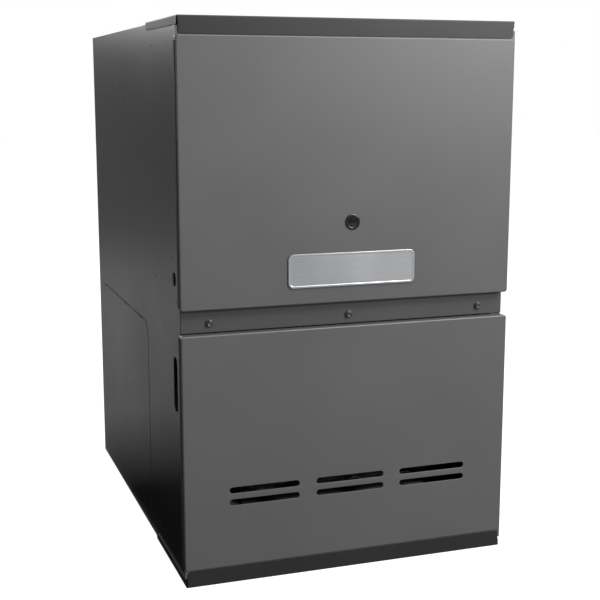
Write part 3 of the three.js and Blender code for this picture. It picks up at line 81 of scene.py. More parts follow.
def setStage():
    camera = bpy.data.objects.new("camera", bpy.data.cameras.new("camera"))
    camera.location = cameraLook["at"]
    camera.rotation_euler = (math.pi / 2 - cameraLook["down"], 0, -cameraLook["turn"])
    camera.data.lens = cameraLook["lens"]
    camera.data.sensor_width = 36
    camera.data.clip_end = 60
    scene.collection.objects.link(camera)
    scene.camera = camera
    for name in ("key", "top", "glint", "edge", "rear", "back"):
        look = studioLook[name]
        light = bpy.data.objects.new(name + "Softbox", bpy.data.lights.new(name, "AREA"))
        light.data.shape = "RECTANGLE"
        light.data.size, light.data.size_y = look["size"]
        light.data.energy = look["watts"]
        light.location = look["at"]
        light.rotation_euler = (Vector(look["aim"]) - Vector(look["at"])).to_track_quat("-Z",
                "Y").to_euler()
        scene.collection.objects.link(light)
    world = bpy.data.worlds.new("studio")
    world.use_nodes = True
    tree = world.node_tree
    backdrop = tree.nodes["Background"]
    backdrop.inputs["Color"].default_value = (1, 1, 1, 1)
    ray = addNode(tree, "LightPath")
    seen = addNode(tree, "MapRange", {"To Min": studioLook["ambient"], "To Max": studioLook["background"]},
            {"Value": (ray, "Is Camera Ray")})
    tree.links.new(seen.outputs[0], backdrop.inputs["Strength"])
    scene.world = world
    bm = bmesh.new()
    bmesh.ops.create_grid(bm, x_segments=1, y_segments=1, size=14)
    mesh = bpy.data.meshes.new("floor")
    bm.to_mesh(mesh)
    bm.free()
    floor = bpy.data.objects.new("floor", mesh)
    floor.location = (0, 0, -0.0005)
    scene.collection.objects.link(floor)
    # even and matt, so it stays plain
    material, tree, shader, place = newMaterial("pale studio vinyl, rolled out")
    shader.inputs["Base Color"].default_value = srgb("6c6c6c")
    shader.inputs["Roughness"].default_value = 0.9
    glow = addNode(tree, "Emission", {"Color": (1, 1, 1, 1), "Strength": 1.0})
    dark = addNode(tree, "Emission", {"Color": (1, 1, 1, 1), "Strength": 0.12})
    ray = addNode(tree, "LightPath")
    pick = addNode(tree, "MixShader", None, {0: (ray, "Is Camera Ray"), 1: (dark, 0), 2: (glow, 0)})
    soft = addNode(tree, "AddShader", None, {0: (pick, 0), 1: (shader, 0)})
    tree.links.new(soft.outputs[0], tree.nodes["Material Output"].inputs[0])
    mesh.materials.append(material)
    look = studioLook["flag"]
    bm = bmesh.new()
    bm.faces.new([bm.verts.new((x, y, 0.0015)) for x, y in (
        (look["across"][0], look["deep"][0]), (look["across"][1], look["deep"][0]),
        (look["across"][1], look["deep"][1]), (look["across"][0], look["deep"][1]))])
    mesh = bpy.data.meshes.new("floorFlag")
    bm.to_mesh(mesh)
    bm.free()
    flag = bpy.data.objects.new("floorFlag", mesh)
    scene.collection.objects.link(flag)
    # only reflections see it: black in front, fading into the pale floor behind
    material, tree, shader, place = newMaterial("black felt flag, pressed")
    spot = addNode(tree, "SeparateXYZ", None, {0: (place, "Object")})
    fade = addNode(tree, "MapRange", {"From Min": 0.1, "From Max": 0.7, "To Min": 0.004, "To Max": 0.3},
            {"Value": (spot, "Y")})
    glow = addNode(tree, "Emission", {"Color": (1, 1, 1, 1)}, {"Strength": (fade, 0)})
    tree.links.new(glow.outputs[0], tree.nodes["Material Output"].inputs[0])
    mesh.materials.append(material)
    flag.visible_camera = False
    flag.visible_shadow = False
    flag.visible_diffuse = False


def srgb(text):
    channels = [int(text[i:i + 2], 16) / 255 for i in (0, 2, 4)]
    return (*[c / 12.92 if c <= 0.04045 else ((c + 0.055) / 1.055) ** 2.4 for c in channels], 1)


def addNode(tree, kind, values=None, links=None, **settings):
    node = tree.nodes.new("ShaderNode" + kind)
    for name, value in settings.items():
        setattr(node, name, value)
    for socket, value in (values or {}).items():
        node.inputs[socket].default_value = value
    for socket, (source, output) in (links or {}).items():
        tree.links.new(source.outputs[output], node.inputs[socket])
    return node


def newMaterial(name, metallic=0.0, roughness=0.5, ior=1.5):
    material = bpy.data.materials.new(name)
    material.use_nodes = True
    tree = material.node_tree
    shader = tree.nodes["Principled BSDF"]
    shader.inputs["Metallic"].default_value = metallic
    shader.inputs["Roughness"].default_value = roughness
    shader.inputs["IOR"].default_value = ior
    return material, tree, shader, addNode(tree, "TexCoord")


def perMm(size):  # the texture scale that repeats every so many millimetres
    return 1 / (size * mm)


def surface(name, colours, roughness, metallic=0.0, ior=1.5, cloudMm=180, grainMm=1.2, bump=0.25, lift=0.05,
        stretch=(1, 1, 1), coat=0.0, spangleMm=0.0, specular=0.5):
    # colours are the low and high tone of the broad unevenness;
    # grainMm is the size of the surface's own relief
    material, tree, shader, place = newMaterial(name, metallic, roughness[0], ior)
    run = addNode(tree, "Mapping", {"Scale": stretch}, {"Vector": (place, "Object")})
    cloud = addNode(tree, "TexNoise", {"Scale": perMm(cloudMm), "Detail": 4}, {"Vector": (place, "Object")})
    grain = addNode(tree, "TexNoise", {"Scale": perMm(grainMm), "Detail": 3, "Roughness": 0.6},
            {"Vector": (run, 0)})
    tone = addNode(tree, "Mix", {6: srgb(colours[0]), 7: srgb(colours[1])}, {0: (cloud, 0)},
            data_type="RGBA")
    speck = addNode(tree, "MapRange", {"From Min": 0.3, "From Max": 0.7, "To Min": 0.9, "To Max": 1.08},
            {"Value": (grain, 0)})
    mixed = addNode(tree, "MixRGB", {0: 1.0}, {1: (tone, 2), 2: (speck, 0)}, blend_type="MULTIPLY")
    dull = addNode(tree, "MapRange", {"From Min": 0.3, "From Max": 0.7, "To Min": roughness[0],
            "To Max": roughness[1]}, {"Value": (cloud, 0)})
    if spangleMm:  # zinc crystals: each has its own tone and gloss
        crystal = addNode(tree, "TexVoronoi", {"Scale": perMm(spangleMm)}, {"Vector": (place, "Object")})
        facet = addNode(tree, "SeparateColor", None, {0: (crystal, "Color")})
        tint = addNode(tree, "MapRange", {"To Min": 0.88, "To Max": 1.06}, {"Value": (facet, 0)})
        mixed = addNode(tree, "MixRGB", {0: 1.0}, {1: (mixed, 0), 2: (tint, 0)}, blend_type="MULTIPLY")
        dull = addNode(tree, "MapRange", {"To Min": roughness[0], "To Max": roughness[1]},
                {"Value": (facet, 1)})
    relief = addNode(tree, "Bump", {"Strength": bump, "Distance": lift * mm}, {"Height": (grain, 0)})
    tree.links.new(mixed.outputs[0], shader.inputs["Base Color"])
    tree.links.new(dull.outputs[0], shader.inputs["Roughness"])
    tree.links.new(relief.outputs[0], shader.inputs["Normal"])
    shader.inputs["Specular IOR Level"].default_value = specular
    if coat:
        shader.inputs["Coat Weight"].default_value = coat
        shader.inputs["Coat Roughness"].default_value = 0.15
    return material


# each finish: material slot, name, low and high tone, low and high roughness, and how its surface differs
finishLook = {
    # polyester powder, sprayed and baked: an even satin grey with a
    # fine pebble that softens every reflection
    "doorPowder": ("door_paint", "doors, grey polyester powder coat, sprayed and baked",
        ("414142", "464647"), (0.4, 0.47), {"grainMm": 0.9, "bump": 0.3, "lift": 0.05}),
    # the same powder in a darker shade
    "trimPowder": ("trim_paint", "trims, charcoal polyester powder coat, sprayed and baked",
        ("161618", "19191b"), (0.45, 0.52), {"grainMm": 0.9, "bump": 0.3, "lift": 0.05, "specular": 0.33}),
    # the same door paint, darkened as painted shade for the shadow deep in the screw groove
    "groovePaintedShade": ("door_paint", "screw groove, grey polyester powder coat, thinly sprayed",
        ("303031", "353537"), (0.5, 0.6), {"grainMm": 0.9, "bump": 0.3, "lift": 0.05}),
    # coil-coated steel: paint rolled on before folding, smoother than the doors
    "coilPaint": ("cabinet_paint", "cabinet, dark coil-coated steel, roller painted", ("141415", "171718"),
        (0.26, 0.32), {"cloudMm": 260, "grainMm": 2.4, "bump": 0.06, "lift": 0.006}),
    # the half-sheared outline: its faces painted near black as painted shade for the shadow in the line,
    # with cracked paint and dust
    "shearedLinePaintedShade": ("cabinet_paint", "sheared outline, coil-coated steel, cracked paint",
        ("080808", "0e0e0e"), (0.6, 0.8), {"cloudMm": 30, "grainMm": 1.2, "bump": 0.4, "lift": 0.05}),
    # painted shade: a dull even black strip that stands for the shadow in the gap beside each door
    "edgeSeal": ("black_rubber", "door edge seal, black EPDM rubber, extruded", ("0b0b0c", "0f0f10"),
        (0.6, 0.75), {"grainMm": 0.8, "bump": 0.2, "lift": 0.03}),
    # satin anodised sheet: fine lines from the brush along its length and a soft metal sheen
    "plateAluminium": ("plate_aluminium", "nameplate, satin anodised aluminium, brushed lengthwise",
        ("b4b6b8", "c4c6c8"),
        (0.3, 0.38), {"metallic": 1.0, "grainMm": 0.5, "bump": 0.2, "lift": 0.02, "stretch": (0.02, 1, 1)}),
    # black moulded rubber with a glossy skin from the polished mould
    "blackRubber": ("black_rubber", "sight plug, black moulded rubber, polished mould",
        ("0a0a0b", "101011"), (0.2, 0.28), {"grainMm": 0.8, "bump": 0.1, "lift": 0.02}),
    # smoked clear plastic: nearly black, with a sharp reflection
    "smokedLens": ("smoked_lens", "sight glass, smoked polycarbonate, injection moulded",
        ("0c0c0d", "101011"), (0.1, 0.16), {"ior": 1.58, "grainMm": 3, "bump": 0.05, "lift": 0.01}),
    # zinc-plated steel with a dull chromate, cold headed
    "zincScrew": ("screw_zinc", "sheet screws and shafts, zinc-plated steel, cold headed",
        ("8a8b8d", "a4a5a7"),
        (0.28, 0.4), {"metallic": 1.0, "cloudMm": 6, "grainMm": 0.6, "bump": 0.2, "lift": 0.02}),
    # the doors' own screws: duller, and darker as painted shade for the shaded groove they sit in; bright
    # only along their edges
    "doorScrew": ("screw_zinc", "door screws, zinc-plated steel, darkened chromate", ("4c4d4f", "626366"),
        (0.34, 0.46), {"metallic": 1.0, "cloudMm": 6, "grainMm": 0.6, "bump": 0.2, "lift": 0.02}),
    # moulded black plastic with a fine spark-eroded grain
    "blackPlastic": ("black_plastic", "black nylon, injection moulded", ("121213", "18181a"),
        (0.45, 0.55), {"grainMm": 0.6, "bump": 0.3, "lift": 0.04}),
    # hot-dip galvanised sheet: pale grey metal with zinc crystals
    "galvanised": ("galvanised_steel", "galvanised steel sheet, hot dipped", ("8c9093", "a7abae"),
        (0.28, 0.5), {"metallic": 1.0, "cloudMm": 60, "grainMm": 2.5, "bump": 0.12, "lift": 0.03,
        "spangleMm": 9}),
    # aluminised steel: dull silver with a fine frosted skin
    "aluminised": ("aluminised_steel", "aluminised steel, drawn", ("7f807f", "939492"),
        (0.42, 0.55), {"metallic": 1.0, "cloudMm": 30, "grainMm": 1.0, "bump": 0.2, "lift": 0.03}),
    # semi-gloss black enamel, dipped
    "motorEnamel": ("motor_enamel", "motor, black enamel, dipped", ("1c1d20", "232428"),
        (0.3, 0.4), {"grainMm": 2.0, "bump": 0.2, "lift": 0.04}),
    # black iron pipe with mill scale and oil
    "blackPipe": ("black_pipe", "gas pipe, black iron, oiled", ("232221", "302e2c"),
        (0.4, 0.6), {"metallic": 0.7, "cloudMm": 18, "grainMm": 1.4, "bump": 0.4, "lift": 0.06}),
    # die-cast aluminium, bead blasted
    "castAluminium": ("cast_aluminium", "gas valve, die-cast aluminium, bead blasted", ("8e9092", "a2a4a6"),
        (0.45, 0.55), {"metallic": 1.0, "grainMm": 0.9, "bump": 0.4, "lift": 0.06}),
    # steatite: dry pressed and fired, off white and matt
    "ceramic": ("circuit_board", "steatite ceramic, pressed and fired", ("d6d0c2", "e2dccf"),
        (0.5, 0.65), {"grainMm": 1.0, "bump": 0.2, "lift": 0.03}),
    # green solder mask over glass epoxy
    "solderMask": ("circuit_board", "control board, green solder mask, screen printed",
        ("14502c", "1b6337"), (0.22, 0.32), {"cloudMm": 12, "grainMm": 1.5, "bump": 0.2, "lift": 0.02}),
    # glass-fibre duct liner with a black mat face
    "fibreLiner": ("liner", "duct liner, glass fibre mat, pressed", ("232323", "303030"),
        (0.8, 0.95), {"cloudMm": 5, "grainMm": 1.5, "bump": 0.9, "lift": 0.3}),
    # enamelled copper wire, wound: red-brown metal with a varnish
    # shine, drawn coarser than the wire so it shows
    "copperWinding": ("motor_enamel", "motor winding, enamelled copper wire, wound", ("7a3318", "a4512a"),
        (0.25, 0.35), {"metallic": 0.8, "cloudMm": 20, "grainMm": 1.6, "bump": 0.9, "lift": 0.3,
        "stretch": (0.15, 1, 1), "coat": 0.5}),
    # moulded epoxy-filled cases: near black with a fine even grain
    "relayBlack": ("circuit_board", "relay case, black polyester, injection moulded", ("17181a", "1e1f22"),
        (0.32, 0.42), {"grainMm": 0.7, "bump": 0.2, "lift": 0.02}),
    "terminalGrey": ("circuit_board", "terminal strip, pale grey nylon, injection moulded",
        ("8f928f", "9c9f9b"), (0.4, 0.5), {"grainMm": 0.8, "bump": 0.2, "lift": 0.03}),
    "plugWhite": ("circuit_board", "wire plug, natural nylon, injection moulded", ("d8d4c4", "e2dfd2"),
        (0.35, 0.45), {"grainMm": 0.8, "bump": 0.2, "lift": 0.02}),
    # tinted clear blade fuse
    "fuseTint": ("circuit_board", "blade fuse, tinted polycarbonate, moulded", ("9a3a12", "b04a1a"),
        (0.12, 0.2), {"ior": 1.58, "grainMm": 2, "bump": 0.05, "lift": 0.01}),
    "lampRed": ("circuit_board", "status lamp, red epoxy, cast", ("7a1210", "8e1a16"),
        (0.1, 0.16), {"ior": 1.55, "grainMm": 2, "bump": 0.05, "lift": 0.01}),
    # tinned leads: bright and a little wavy
    "tinSolder": ("circuit_board", "leads, tinned brass, stamped", ("b9bbbd", "cccdce"),
        (0.25, 0.35), {"metallic": 1.0, "cloudMm": 4, "grainMm": 0.8, "bump": 0.3, "lift": 0.02}),
    # varnished tape wound round the coils
    "windingTape": ("motor_enamel", "transformer winding, yellow polyester tape, wound",
        ("b38a2c", "c89c3a"),
        (0.3, 0.42), {"cloudMm": 12, "grainMm": 1.4, "bump": 0.5, "lift": 0.08, "stretch": (0.1, 1, 1),
        "coat": 0.3}),
    # silicone hose: dull grey-black skin
    "siliconeHose": ("black_rubber", "pressure hose, black silicone rubber, extruded", ("18181a", "202022"),
        (0.5, 0.62), {"ior": 1.43, "cloudMm": 30, "grainMm": 0.9, "bump": 0.2, "lift": 0.03}),
    "knobBlack": ("black_plastic", "gas knob, black phenolic, compression moulded", ("131315", "1a1a1c"),
        (0.28, 0.38), {"ior": 1.6, "grainMm": 0.8, "bump": 0.2, "lift": 0.02}),
}
# extruded PVC: soft even colour with a low satin shine
wireColours = {"Red": ("8f1c18", "a0241e"), "Yellow": ("c79a1c", "d6a92a"), "White": ("c9c7c0", "d8d6cf"),
        "Blue": ("1d3f86", "26509c"), "Brown": ("4a2c1a", "5a3722")}
for colour, tones in wireColours.items():
    finishLook["wire" + colour] = ("black_rubber", "wire, " + colour.lower() + " PVC, extruded", tones,
        (0.36, 0.46), {"ior": 1.53, "cloudMm": 40, "grainMm": 1.0, "bump": 0.1, "lift": 0.02})
finishes = {key: surface(*look[1:4], **look[4]) for key, look in finishLook.items()}
print("materials", len(finishes))


def ring(bm, points):
    return [bm.verts.new(p) for p in points]


def bridge(bm, rings, closed=True, loop=False):  # quads between rings of the same number of points
    pairs = list(zip(rings, rings[1:])) + ([(rings[-1], rings[0])] if loop else [])
    for one, two in pairs:
        count = len(one)
        for i in range(count if closed else count - 1):
            j = (i + 1) % count
            bm.faces.new((one[i], one[j], two[j], two[i]))


def solid(bm, rings):  # a closed body: rings joined in order, and a face over each end
    bridge(bm, rings)
    bm.faces.new(rings[0])
    bm.faces.new(rings[-1])


def fill(bm, loops):  # a flat face bounded by the first loop, with the others as holes in it
    verts = [v for loop in loops for v in loop]
    for tri in tessellate_polygon([[v.co for v in loop] for loop in loops]):
        bm.faces.new([verts[i] for i in tri])


def circle(a, b, radius, count=32):
    return [(a + radius * math.cos(2 * math.pi * i / count),
            b + radius * math.sin(2 * math.pi * i / count)) for i in range(count)]


def roundRect(a, b, width, height, radius, steps=6):
    points = []
    for sa, sb, start in ((1, -1, -90), (1, 1, 0), (-1, 1, 90), (-1, -1, 180)):
        for i in range(steps + 1):
            angle = math.radians(start + 90 * i / steps)
            points.append((a + sa * (width / 2 - radius) + radius * math.cos(angle),
                    b + sb * (height / 2 - radius) + radius * math.sin(angle)))
    return points


def offsetLoop(points, distance):  # outward for a loop that runs anticlockwise
    moved = []
    for i, (a, b) in enumerate(points):
        (a0, b0), (a1, b1) = points[i - 1], points[(i + 1) % len(points)]
        before = Vector((b - b0, a0 - a))
        after = Vector((b1 - b, a - a1))
        normal = (before.normalized() + after.normalized()).normalized()
        moved.append((a + normal.x * distance, b + normal.y * distance))
    return moved


def pan(bm, place, rect, depths, bend=2.4, corner=3.2, holes=(), scores=(), openCorners=False, endRound=0.0,
        thick=sheet, cornerSteps=4):
    # a sheet with its four edges folded back; place turns (a, b, back) into a point of the cabinet
    a0, a1, b0, b1 = rect
    corners = ((a1 - corner, b0 + corner, -90, 0, 1), (a1 - corner, b1 - corner, 0, 1, 2),
            (a0 + corner, b1 - corner, 90, 2, 3), (a0 + corner, b0 + corner, 180, 3, 0))
    stations = []  # point on the outline, its outward direction and the fold's depth there
    for index, (ca, cb, start, before, after) in enumerate(corners):
        for i in range(cornerSteps + 1):
            angle = math.radians(start + 90 * i / cornerSteps)
            out = (math.cos(angle), math.sin(angle))
            depth = depths[before] if i < cornerSteps / 2 else depths[after]
            if openCorners:
                depth = bend
            stations.append(((ca + corner * out[0], cb + corner * out[1]), out, depth))
        if openCorners:
            out = ((1, 0), (0, 1), (-1, 0), (0, -1))[index]
            along = (-out[1], out[0])
            length = (b1 - b0 if index in (0, 2) else a1 - a0) - 2 * corner
            first = stations[-1][0]
            ends = [0.4] + [0.4 + endRound * s for s in (0.08, 0.3, 0.6, 1) if endRound]
            for d in ends + [length - d for d in reversed(ends)]:
                near = min(d, length - d) - 0.4
                cut = endRound - math.sqrt(max(endRound ** 2 - max(endRound - near, 0) ** 2, 0))
                point = (first[0] + along[0] * d, first[1] + along[1] * d)
                stations.append((point, out, depths[after] - cut))
    inside = max(bend - thick, 0.2)
    turns = [math.radians(90 * i / 4) for i in range(5)]
    profile = [(bend * (1 - math.sin(t)), bend * (1 - math.cos(t))) for t in turns]
    profile += [(0, None), (thick, None)]
    profile += [(thick + inside * (1 - math.sin(t)),
            thick + inside * (1 - math.cos(t))) for t in reversed(turns)]
    rings = []
    for inset, back in profile:
        points = []
        for (pa, pb), (na, nb), depth in stations:
            deep = max(depth, bend + 0.2) if back is None else back
            points.append(place(pa - inset * na, pb - inset * nb, deep))
        rings.append(ring(bm, points))
    bridge(bm, rings)
    front, rear = [rings[0]], [rings[-1]]
    for points, roll in holes:
        steps = ((roll, 0), (0.35 * roll, 0.3 * roll), (0, roll), (0, thick))
        wall = [ring(bm, [place(a, b, back) for a, b in offsetLoop(points, grow)]) for grow, back in steps]
        bridge(bm, wall)
        front.append(wall[0])
        rear.append(wall[-1])
    for path, width, depth in scores:
        side = [Vector(p) for p in path]
        across = []
        for i, p in enumerate(side):
            run = side[min(i + 1, len(side) - 1)] - side[max(i - 1, 0)]
            across.append(Vector((-run.y, run.x)).normalized() * width / 2)
        for start, loops in ((0, front), (thick, rear)):
            before = set(bm.faces)
            left = ring(bm, [place(*(p + n), start) for p, n in zip(side, across)])
            right = ring(bm, [place(*(p - n), start) for p, n in zip(side, across)])
            low = ring(bm, [place(*(p + n * 0.35), start + depth) for p, n in zip(side, across)])
            high = ring(bm, [place(*(p - n * 0.35), start + depth) for p, n in zip(side, across)])
            bridge(bm, [left, low, high, right], closed=False)
            bm.faces.new((left[0], right[0], high[0], low[0]))
            bm.faces.new((right[-1], left[-1], low[-1], high[-1]))
            loops.append(left + right[::-1])
            # score faces take the second slot; on the side panels it holds the sheared line's painted shade
            for face in set(bm.faces) - before:
                face.material_index = 1
    fill(bm, front)
    fill(bm, rear)


def blockOf(bm, x0, x1, y0, y1, z0, z1):
    low = ring(bm, [(x0, y0, z0), (x1, y0, z0), (x1, y1, z0), (x0, y1, z0)])
    high = ring(bm, [(x0, y0, z1), (x1, y0, z1), (x1, y1, z1), (x0, y1, z1)])
    solid(bm, [low, high])


def turned(bm, profile, centre=(0, 0, 0), axis="y", count=32, loop=False):
    # profile pairs are (radius, distance along the axis); radius 0 closes the end
    axes = {"x": ((0, 1, 0), (0, 0, 1), (1, 0, 0)), "y": ((0, 0, 1), (1, 0, 0), (0, 1, 0)),
            "z": ((1, 0, 0), (0, 1, 0), (0, 0, 1))}[axis]
    u, v, w = (Vector(d) for d in axes)
    middle = Vector(centre)
    rings = []
    for radius, along in profile:
        if radius <= 0:
            rings.append([bm.verts.new(middle + w * along)])
            continue
        rings.append(ring(bm, [middle + w * along + u * a + v * b for a, b in circle(0, 0, radius, count)]))
    for one, two in list(zip(rings, rings[1:])) + ([(rings[-1], rings[0])] if loop else []):
        if len(one) == 1 or len(two) == 1:
            tip, rim = (one[0], two) if len(one) == 1 else (two[0], one)
            for i in range(count):
                bm.faces.new((tip, rim[i], rim[(i + 1) % count]))
        else:
            bridge(bm, [one, two])


def soften(piece, edge, smooth=35):
    if edge:
        bevel = piece.modifiers.new("roundedEdges", "BEVEL")
        bevel.width = edge * mm
        bevel.segments = 2
        bevel.limit_method = "ANGLE"
        bevel.angle_limit = math.radians(smooth)
    weighted = piece.modifiers.new("evenShading", "WEIGHTED_NORMAL")
    weighted.keep_sharp = True


def makePiece(name, bm, finish, nodes=(), body="cabinet", edge=0.0, smooth=35):
    bmesh.ops.recalc_face_normals(bm, faces=bm.faces)
    mesh = bpy.data.meshes.new(name)
    bm.to_mesh(mesh)
    bm.free()
    mesh.transform(toFrame)
    mesh.shade_smooth()
    mesh.set_sharp_from_angle(angle=math.radians(smooth))
    mesh.materials.append(finishes[finish])
    piece = bpy.data.objects.new(name, mesh)
    scene.collection.objects.link(piece)
    soften(piece, edge, smooth)
    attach(piece, body)
    if nodes:
        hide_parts(*nodes)
    return piece


doorLook = {"bend": 2.0, "corner": 4.2, "lipBack": 1.7, "hem": 2.9, "faceLow": 427.0, "trimGap": 1.0,
        "screwHole": 2.7, "sightHole": 10}
louvreLook = {"columns": 3, "rows": 2, "across": 140, "low": 128.2, "pitch": 19.1, "length": 112,
        "height": 9.4, "roll": 0.9}


def doorPlace(a, b, back):
    return Vector((a, back, b))


gapShadeLook = {"start": 6.0, "proud": 0.9, "lap": 6.0}


def makeDoorGapShades(name, node, low, high):
    # a black strip on the rear of both side flanges, as painted shade; it makes the black line of the
    # shadow gap beside each door
    x0, x1, y0, y1, z0, z1 = sizeOf(node)
    look = gapShadeLook
    for side, half in ((-1, -x0), (1, x1)):
        outline = [(half - sheet - 0.6, y1 - look["lap"]), (half - sheet, y1 - look["lap"]),
                (half - sheet, y1), (half, y1), (half, look["start"]),
                (half + look["proud"] * 0.6, look["start"]), (half + look["proud"], look["start"] + 0.6),
                (half + look["proud"], y1 - 0.3), (half + look["proud"] * 0.4, y1 + 0.18),
                (half - sheet - 0.6, y1 + 0.18)]
        bm = bmesh.new()
        rings = [ring(bm, [(side * a, b, z) for a, b in outline]) for z in (low, high)]
        bridge(bm, rings)
        fill(bm, [rings[0]])
        fill(bm, [rings[1]])
        makePiece(name + ("Left" if side < 0 else "Right"), bm, "edgeSeal", (), node, smooth=50)


def makeUpperDoor():
    x0, x1, y0, y1, z0, z1 = sizeOf("upper_door")
    sightX, _, sightZ = middleOf("sight_glass_bezel")
    top = sizeOf("top_front_trim")[4] - doorLook["trimGap"]  # the face ends just under the trim
    bottom = doorLook["faceLow"]
    depth = y1
    bm = bmesh.new()
    pan(bm, doorPlace, (x0, x1, bottom, top), (depth, depth, doorLook["hem"], depth), doorLook["bend"],
            doorLook["corner"], holes=[(circle(sightX, sightZ, doorLook["sightHole"], 40), 0.3)])
    lip = doorLook["lipBack"]
    blockOf(bm, x0 + 0.2, x1 - 0.2, lip, lip + sheet, top - 1.1, z1)  # lip that hooks behind the trim
    for side in (x0, x1 - sheet):
        blockOf(bm, side, side + sheet, lip + 0.1, 7, top - 6, z1 - 0.1)
    makePiece("upperDoor", bm, "doorPowder", (), "upper_door", smooth=30)
    # black strips beside the door: painted shade for the shadow gap
    makeDoorGapShades("upperDoorGapShade", "upper_door", bottom + 4, top - 8)
    # the recessed flange that the screws go through
    bm = bmesh.new()
    grooveHalf = -sizeOf("left_side_panel")[0]
    holes = []
    for side in ("left", "middle", "right"):
        spot = middleOf("door_screw_" + side)
        holes.append((circle(spot.x, spot.z, doorLook["screwHole"], 20), 0.3))
    back = depth - sheet
    pan(bm, lambda a, b, deep: Vector((a, back + deep, b)), (-grooveHalf, grooveHalf, z0, bottom + 1),
        (sheet,) * 4, 0.9, 1.4, holes=holes)
    # the flange's finish is the door paint darkened as painted shade for the groove's shadow
    makePiece("upperDoorScrewFlange", bm, "groovePaintedShade", ("upper_door",), "upper_door", smooth=30)


def makeLowerDoor():
    x0, x1, y0, y1, z0, z1 = sizeOf("lower_door")
    low = sizeOf("bottom_front_trim")[5] + doorLook["trimGap"]
    holes = []
    look = louvreLook
    for column in range(look["columns"]):
        for row in range(look["rows"]):
            spot = ((column - 1) * look["across"], look["low"] + row * look["pitch"])
            outline = roundRect(*spot, look["length"], look["height"], look["height"] / 2, 8)
            holes.append((outline, look["roll"]))
    bm = bmesh.new()
    pan(bm, doorPlace, (x0, x1, low, z1), (doorLook["hem"], y1, y1, y1), doorLook["bend"],
            doorLook["corner"], holes=holes)
    lip = doorLook["lipBack"]
    blockOf(bm, x0 + 0.2, x1 - 0.2, lip, lip + sheet, z0, low + 1.1)
    for side in (x0, x1 - sheet):
        blockOf(bm, side, side + sheet, lip + 0.1, 7, z0 + 0.1, low + 6)
    makePiece("lowerDoor", bm, "doorPowder", ("lower_door",), "lower_door", smooth=30)
    makeDoorGapShades("lowerDoorGapShade", "lower_door", low + 8, z1 - 4)


def makeDoorScrews():
    look = {"washer": 6.0, "washerThick": 1.2, "acrossFlats": 8.0, "headHigh": 4.0, "dish": 0.8,
            "shank": 2.2}
    for side in ("left", "middle", "right"):
        x0, x1, y0, y1, z0, z1 = sizeOf("door_screw_" + side)
        centre = Vector(((x0 + x1) / 2, 0, (z0 + z1) / 2))
        seat = y0 + look["headHigh"]
        radius = look["acrossFlats"] / 2 / math.cos(math.pi / 6)
        bm = bmesh.new()
        # washer flange and shank
        turned(bm, [(0, seat - look["washerThick"]), (look["washer"] - 0.5, seat - look["washerThick"]),
                (look["washer"], seat - look["washerThick"] + 0.5), (look["washer"], seat),
                (look["shank"], seat), (look["shank"], y1 - 3), (0, y1)], centre, count=32)
        # hexagon with chamfered corners and a dished top
        levels = [(0.0, seat - 1.0), (1.0, seat - 1.0), (1.0, y0 + 0.7), (0.9, y0), (0.62, y0),
                (0.5, y0 + look["dish"]), (0.0, y0 + look["dish"])]
        turned(bm, [(radius * share, along) for share, along in levels], centre, count=6)
        # their finish is zinc darkened as painted shade for the groove
        makePiece("doorScrew_" + side, bm, "doorScrew", ("door_screw_" + side,), "upper_door", edge=0.25)


def makeSightGlass():
    look = {"rim": 12.0, "lens": 8.0, "proud": 1.3, "sleeve": 9.6}
    x0, x1, y0, y1, z0, z1 = sizeOf("sight_glass_bezel")
    centre = (0, 0, (z0 + z1) / 2)
    bm = bmesh.new()
    rim, lens = look["rim"], look["lens"]
    turned(bm, [(lens, y1), (lens, y0 + 0.9), (lens + 0.3, y0 + 0.35), (lens + 1.1, y0), (rim - 1.0, y0),
            (rim - 0.3, y0 + 0.25), (rim, y0 + 0.7), (rim, y0 + 1.0), (look["sleeve"], y0 + 1.0),
            (look["sleeve"], y0 + 3.2), (look["sleeve"] + 0.6, y0 + 3.6), (look["sleeve"] - 0.4, y1)],
           centre, count=48, loop=True)
    makePiece("sightGlassBezel", bm, "blackRubber", ("sight_glass_bezel",), "upper_door", smooth=50)
    x0, x1, y0, y1, z0, z1 = sizeOf("sight_glass_lens")
    bm = bmesh.new()
    slope = math.radians(30)  # of the dome at its rim
    dome = [(lens * math.sin(slope * i / 5) / math.sin(slope) * 0.99,
            y0 + 0.5 * (1 - math.cos(slope * i / 5)) / (1 - math.cos(slope))) for i in range(6)]
    turned(bm, dome + [(lens * 0.99, y1), (0, y1)], centre, count=48)
    makePiece("sightGlassLens", bm, "smokedLens", ("sight_glass_lens",), "upper_door", smooth=40)


def makeNameplate():
    look = {"rim": 3.0, "rimHigh": 0.3, "corner": 8.0, "round": 0.45}
    x0, x1, y0, y1, z0, z1 = sizeOf("nameplate")
    middle = ((x0 + x1) / 2, (z0 + z1) / 2)
    size = (x1 - x0, z1 - z0)
    steps = [(0, y1), (0, y0 + look["round"]), (look["round"] * 0.3, y0 + look["round"] * 0.3),
            (look["round"], y0), (look["rim"] - 0.5, y0), (look["rim"], y0 + 0.2),
            (look["rim"] + 0.3, y0 + look["rimHigh"])]
    bm = bmesh.new()
    rings = [ring(bm, [(a, back, b) for a, b in roundRect(*middle, size[0] - 2 * inset, size[1] - 2 * inset,
            look["corner"] - inset, 8)]) for inset, back in steps]
    bridge(bm, rings)
    fill(bm, [rings[0]])
    fill(bm, [rings[-1]])
    makePiece("blankNameplate", bm, "plateAluminium", ("nameplate",), "upper_door", smooth=40)


cabinetLook = {"bend": 2.2, "corner": 2.6, "scoreWidth": 4.2, "scoreDepth": 1.5, "flange": 14,
        "rearFlange": 18, "slot": (25, 85, 9, 6), "wireHole": 11, "pierced": 1.6,
        "piercedAt": ((183, 36), (183, 216.5), (183, 394), (60, 350), (39, 413)),
        "score": {"top": 363.3, "front": 254.0, "radius": 26.0, "rear": 665.0, "foot": 31.0}}
trimLook = {"flange": 12.7, "bend": 1.9, "corner": 2.1, "endRound": 4.5, "pipeHole": 39.8}


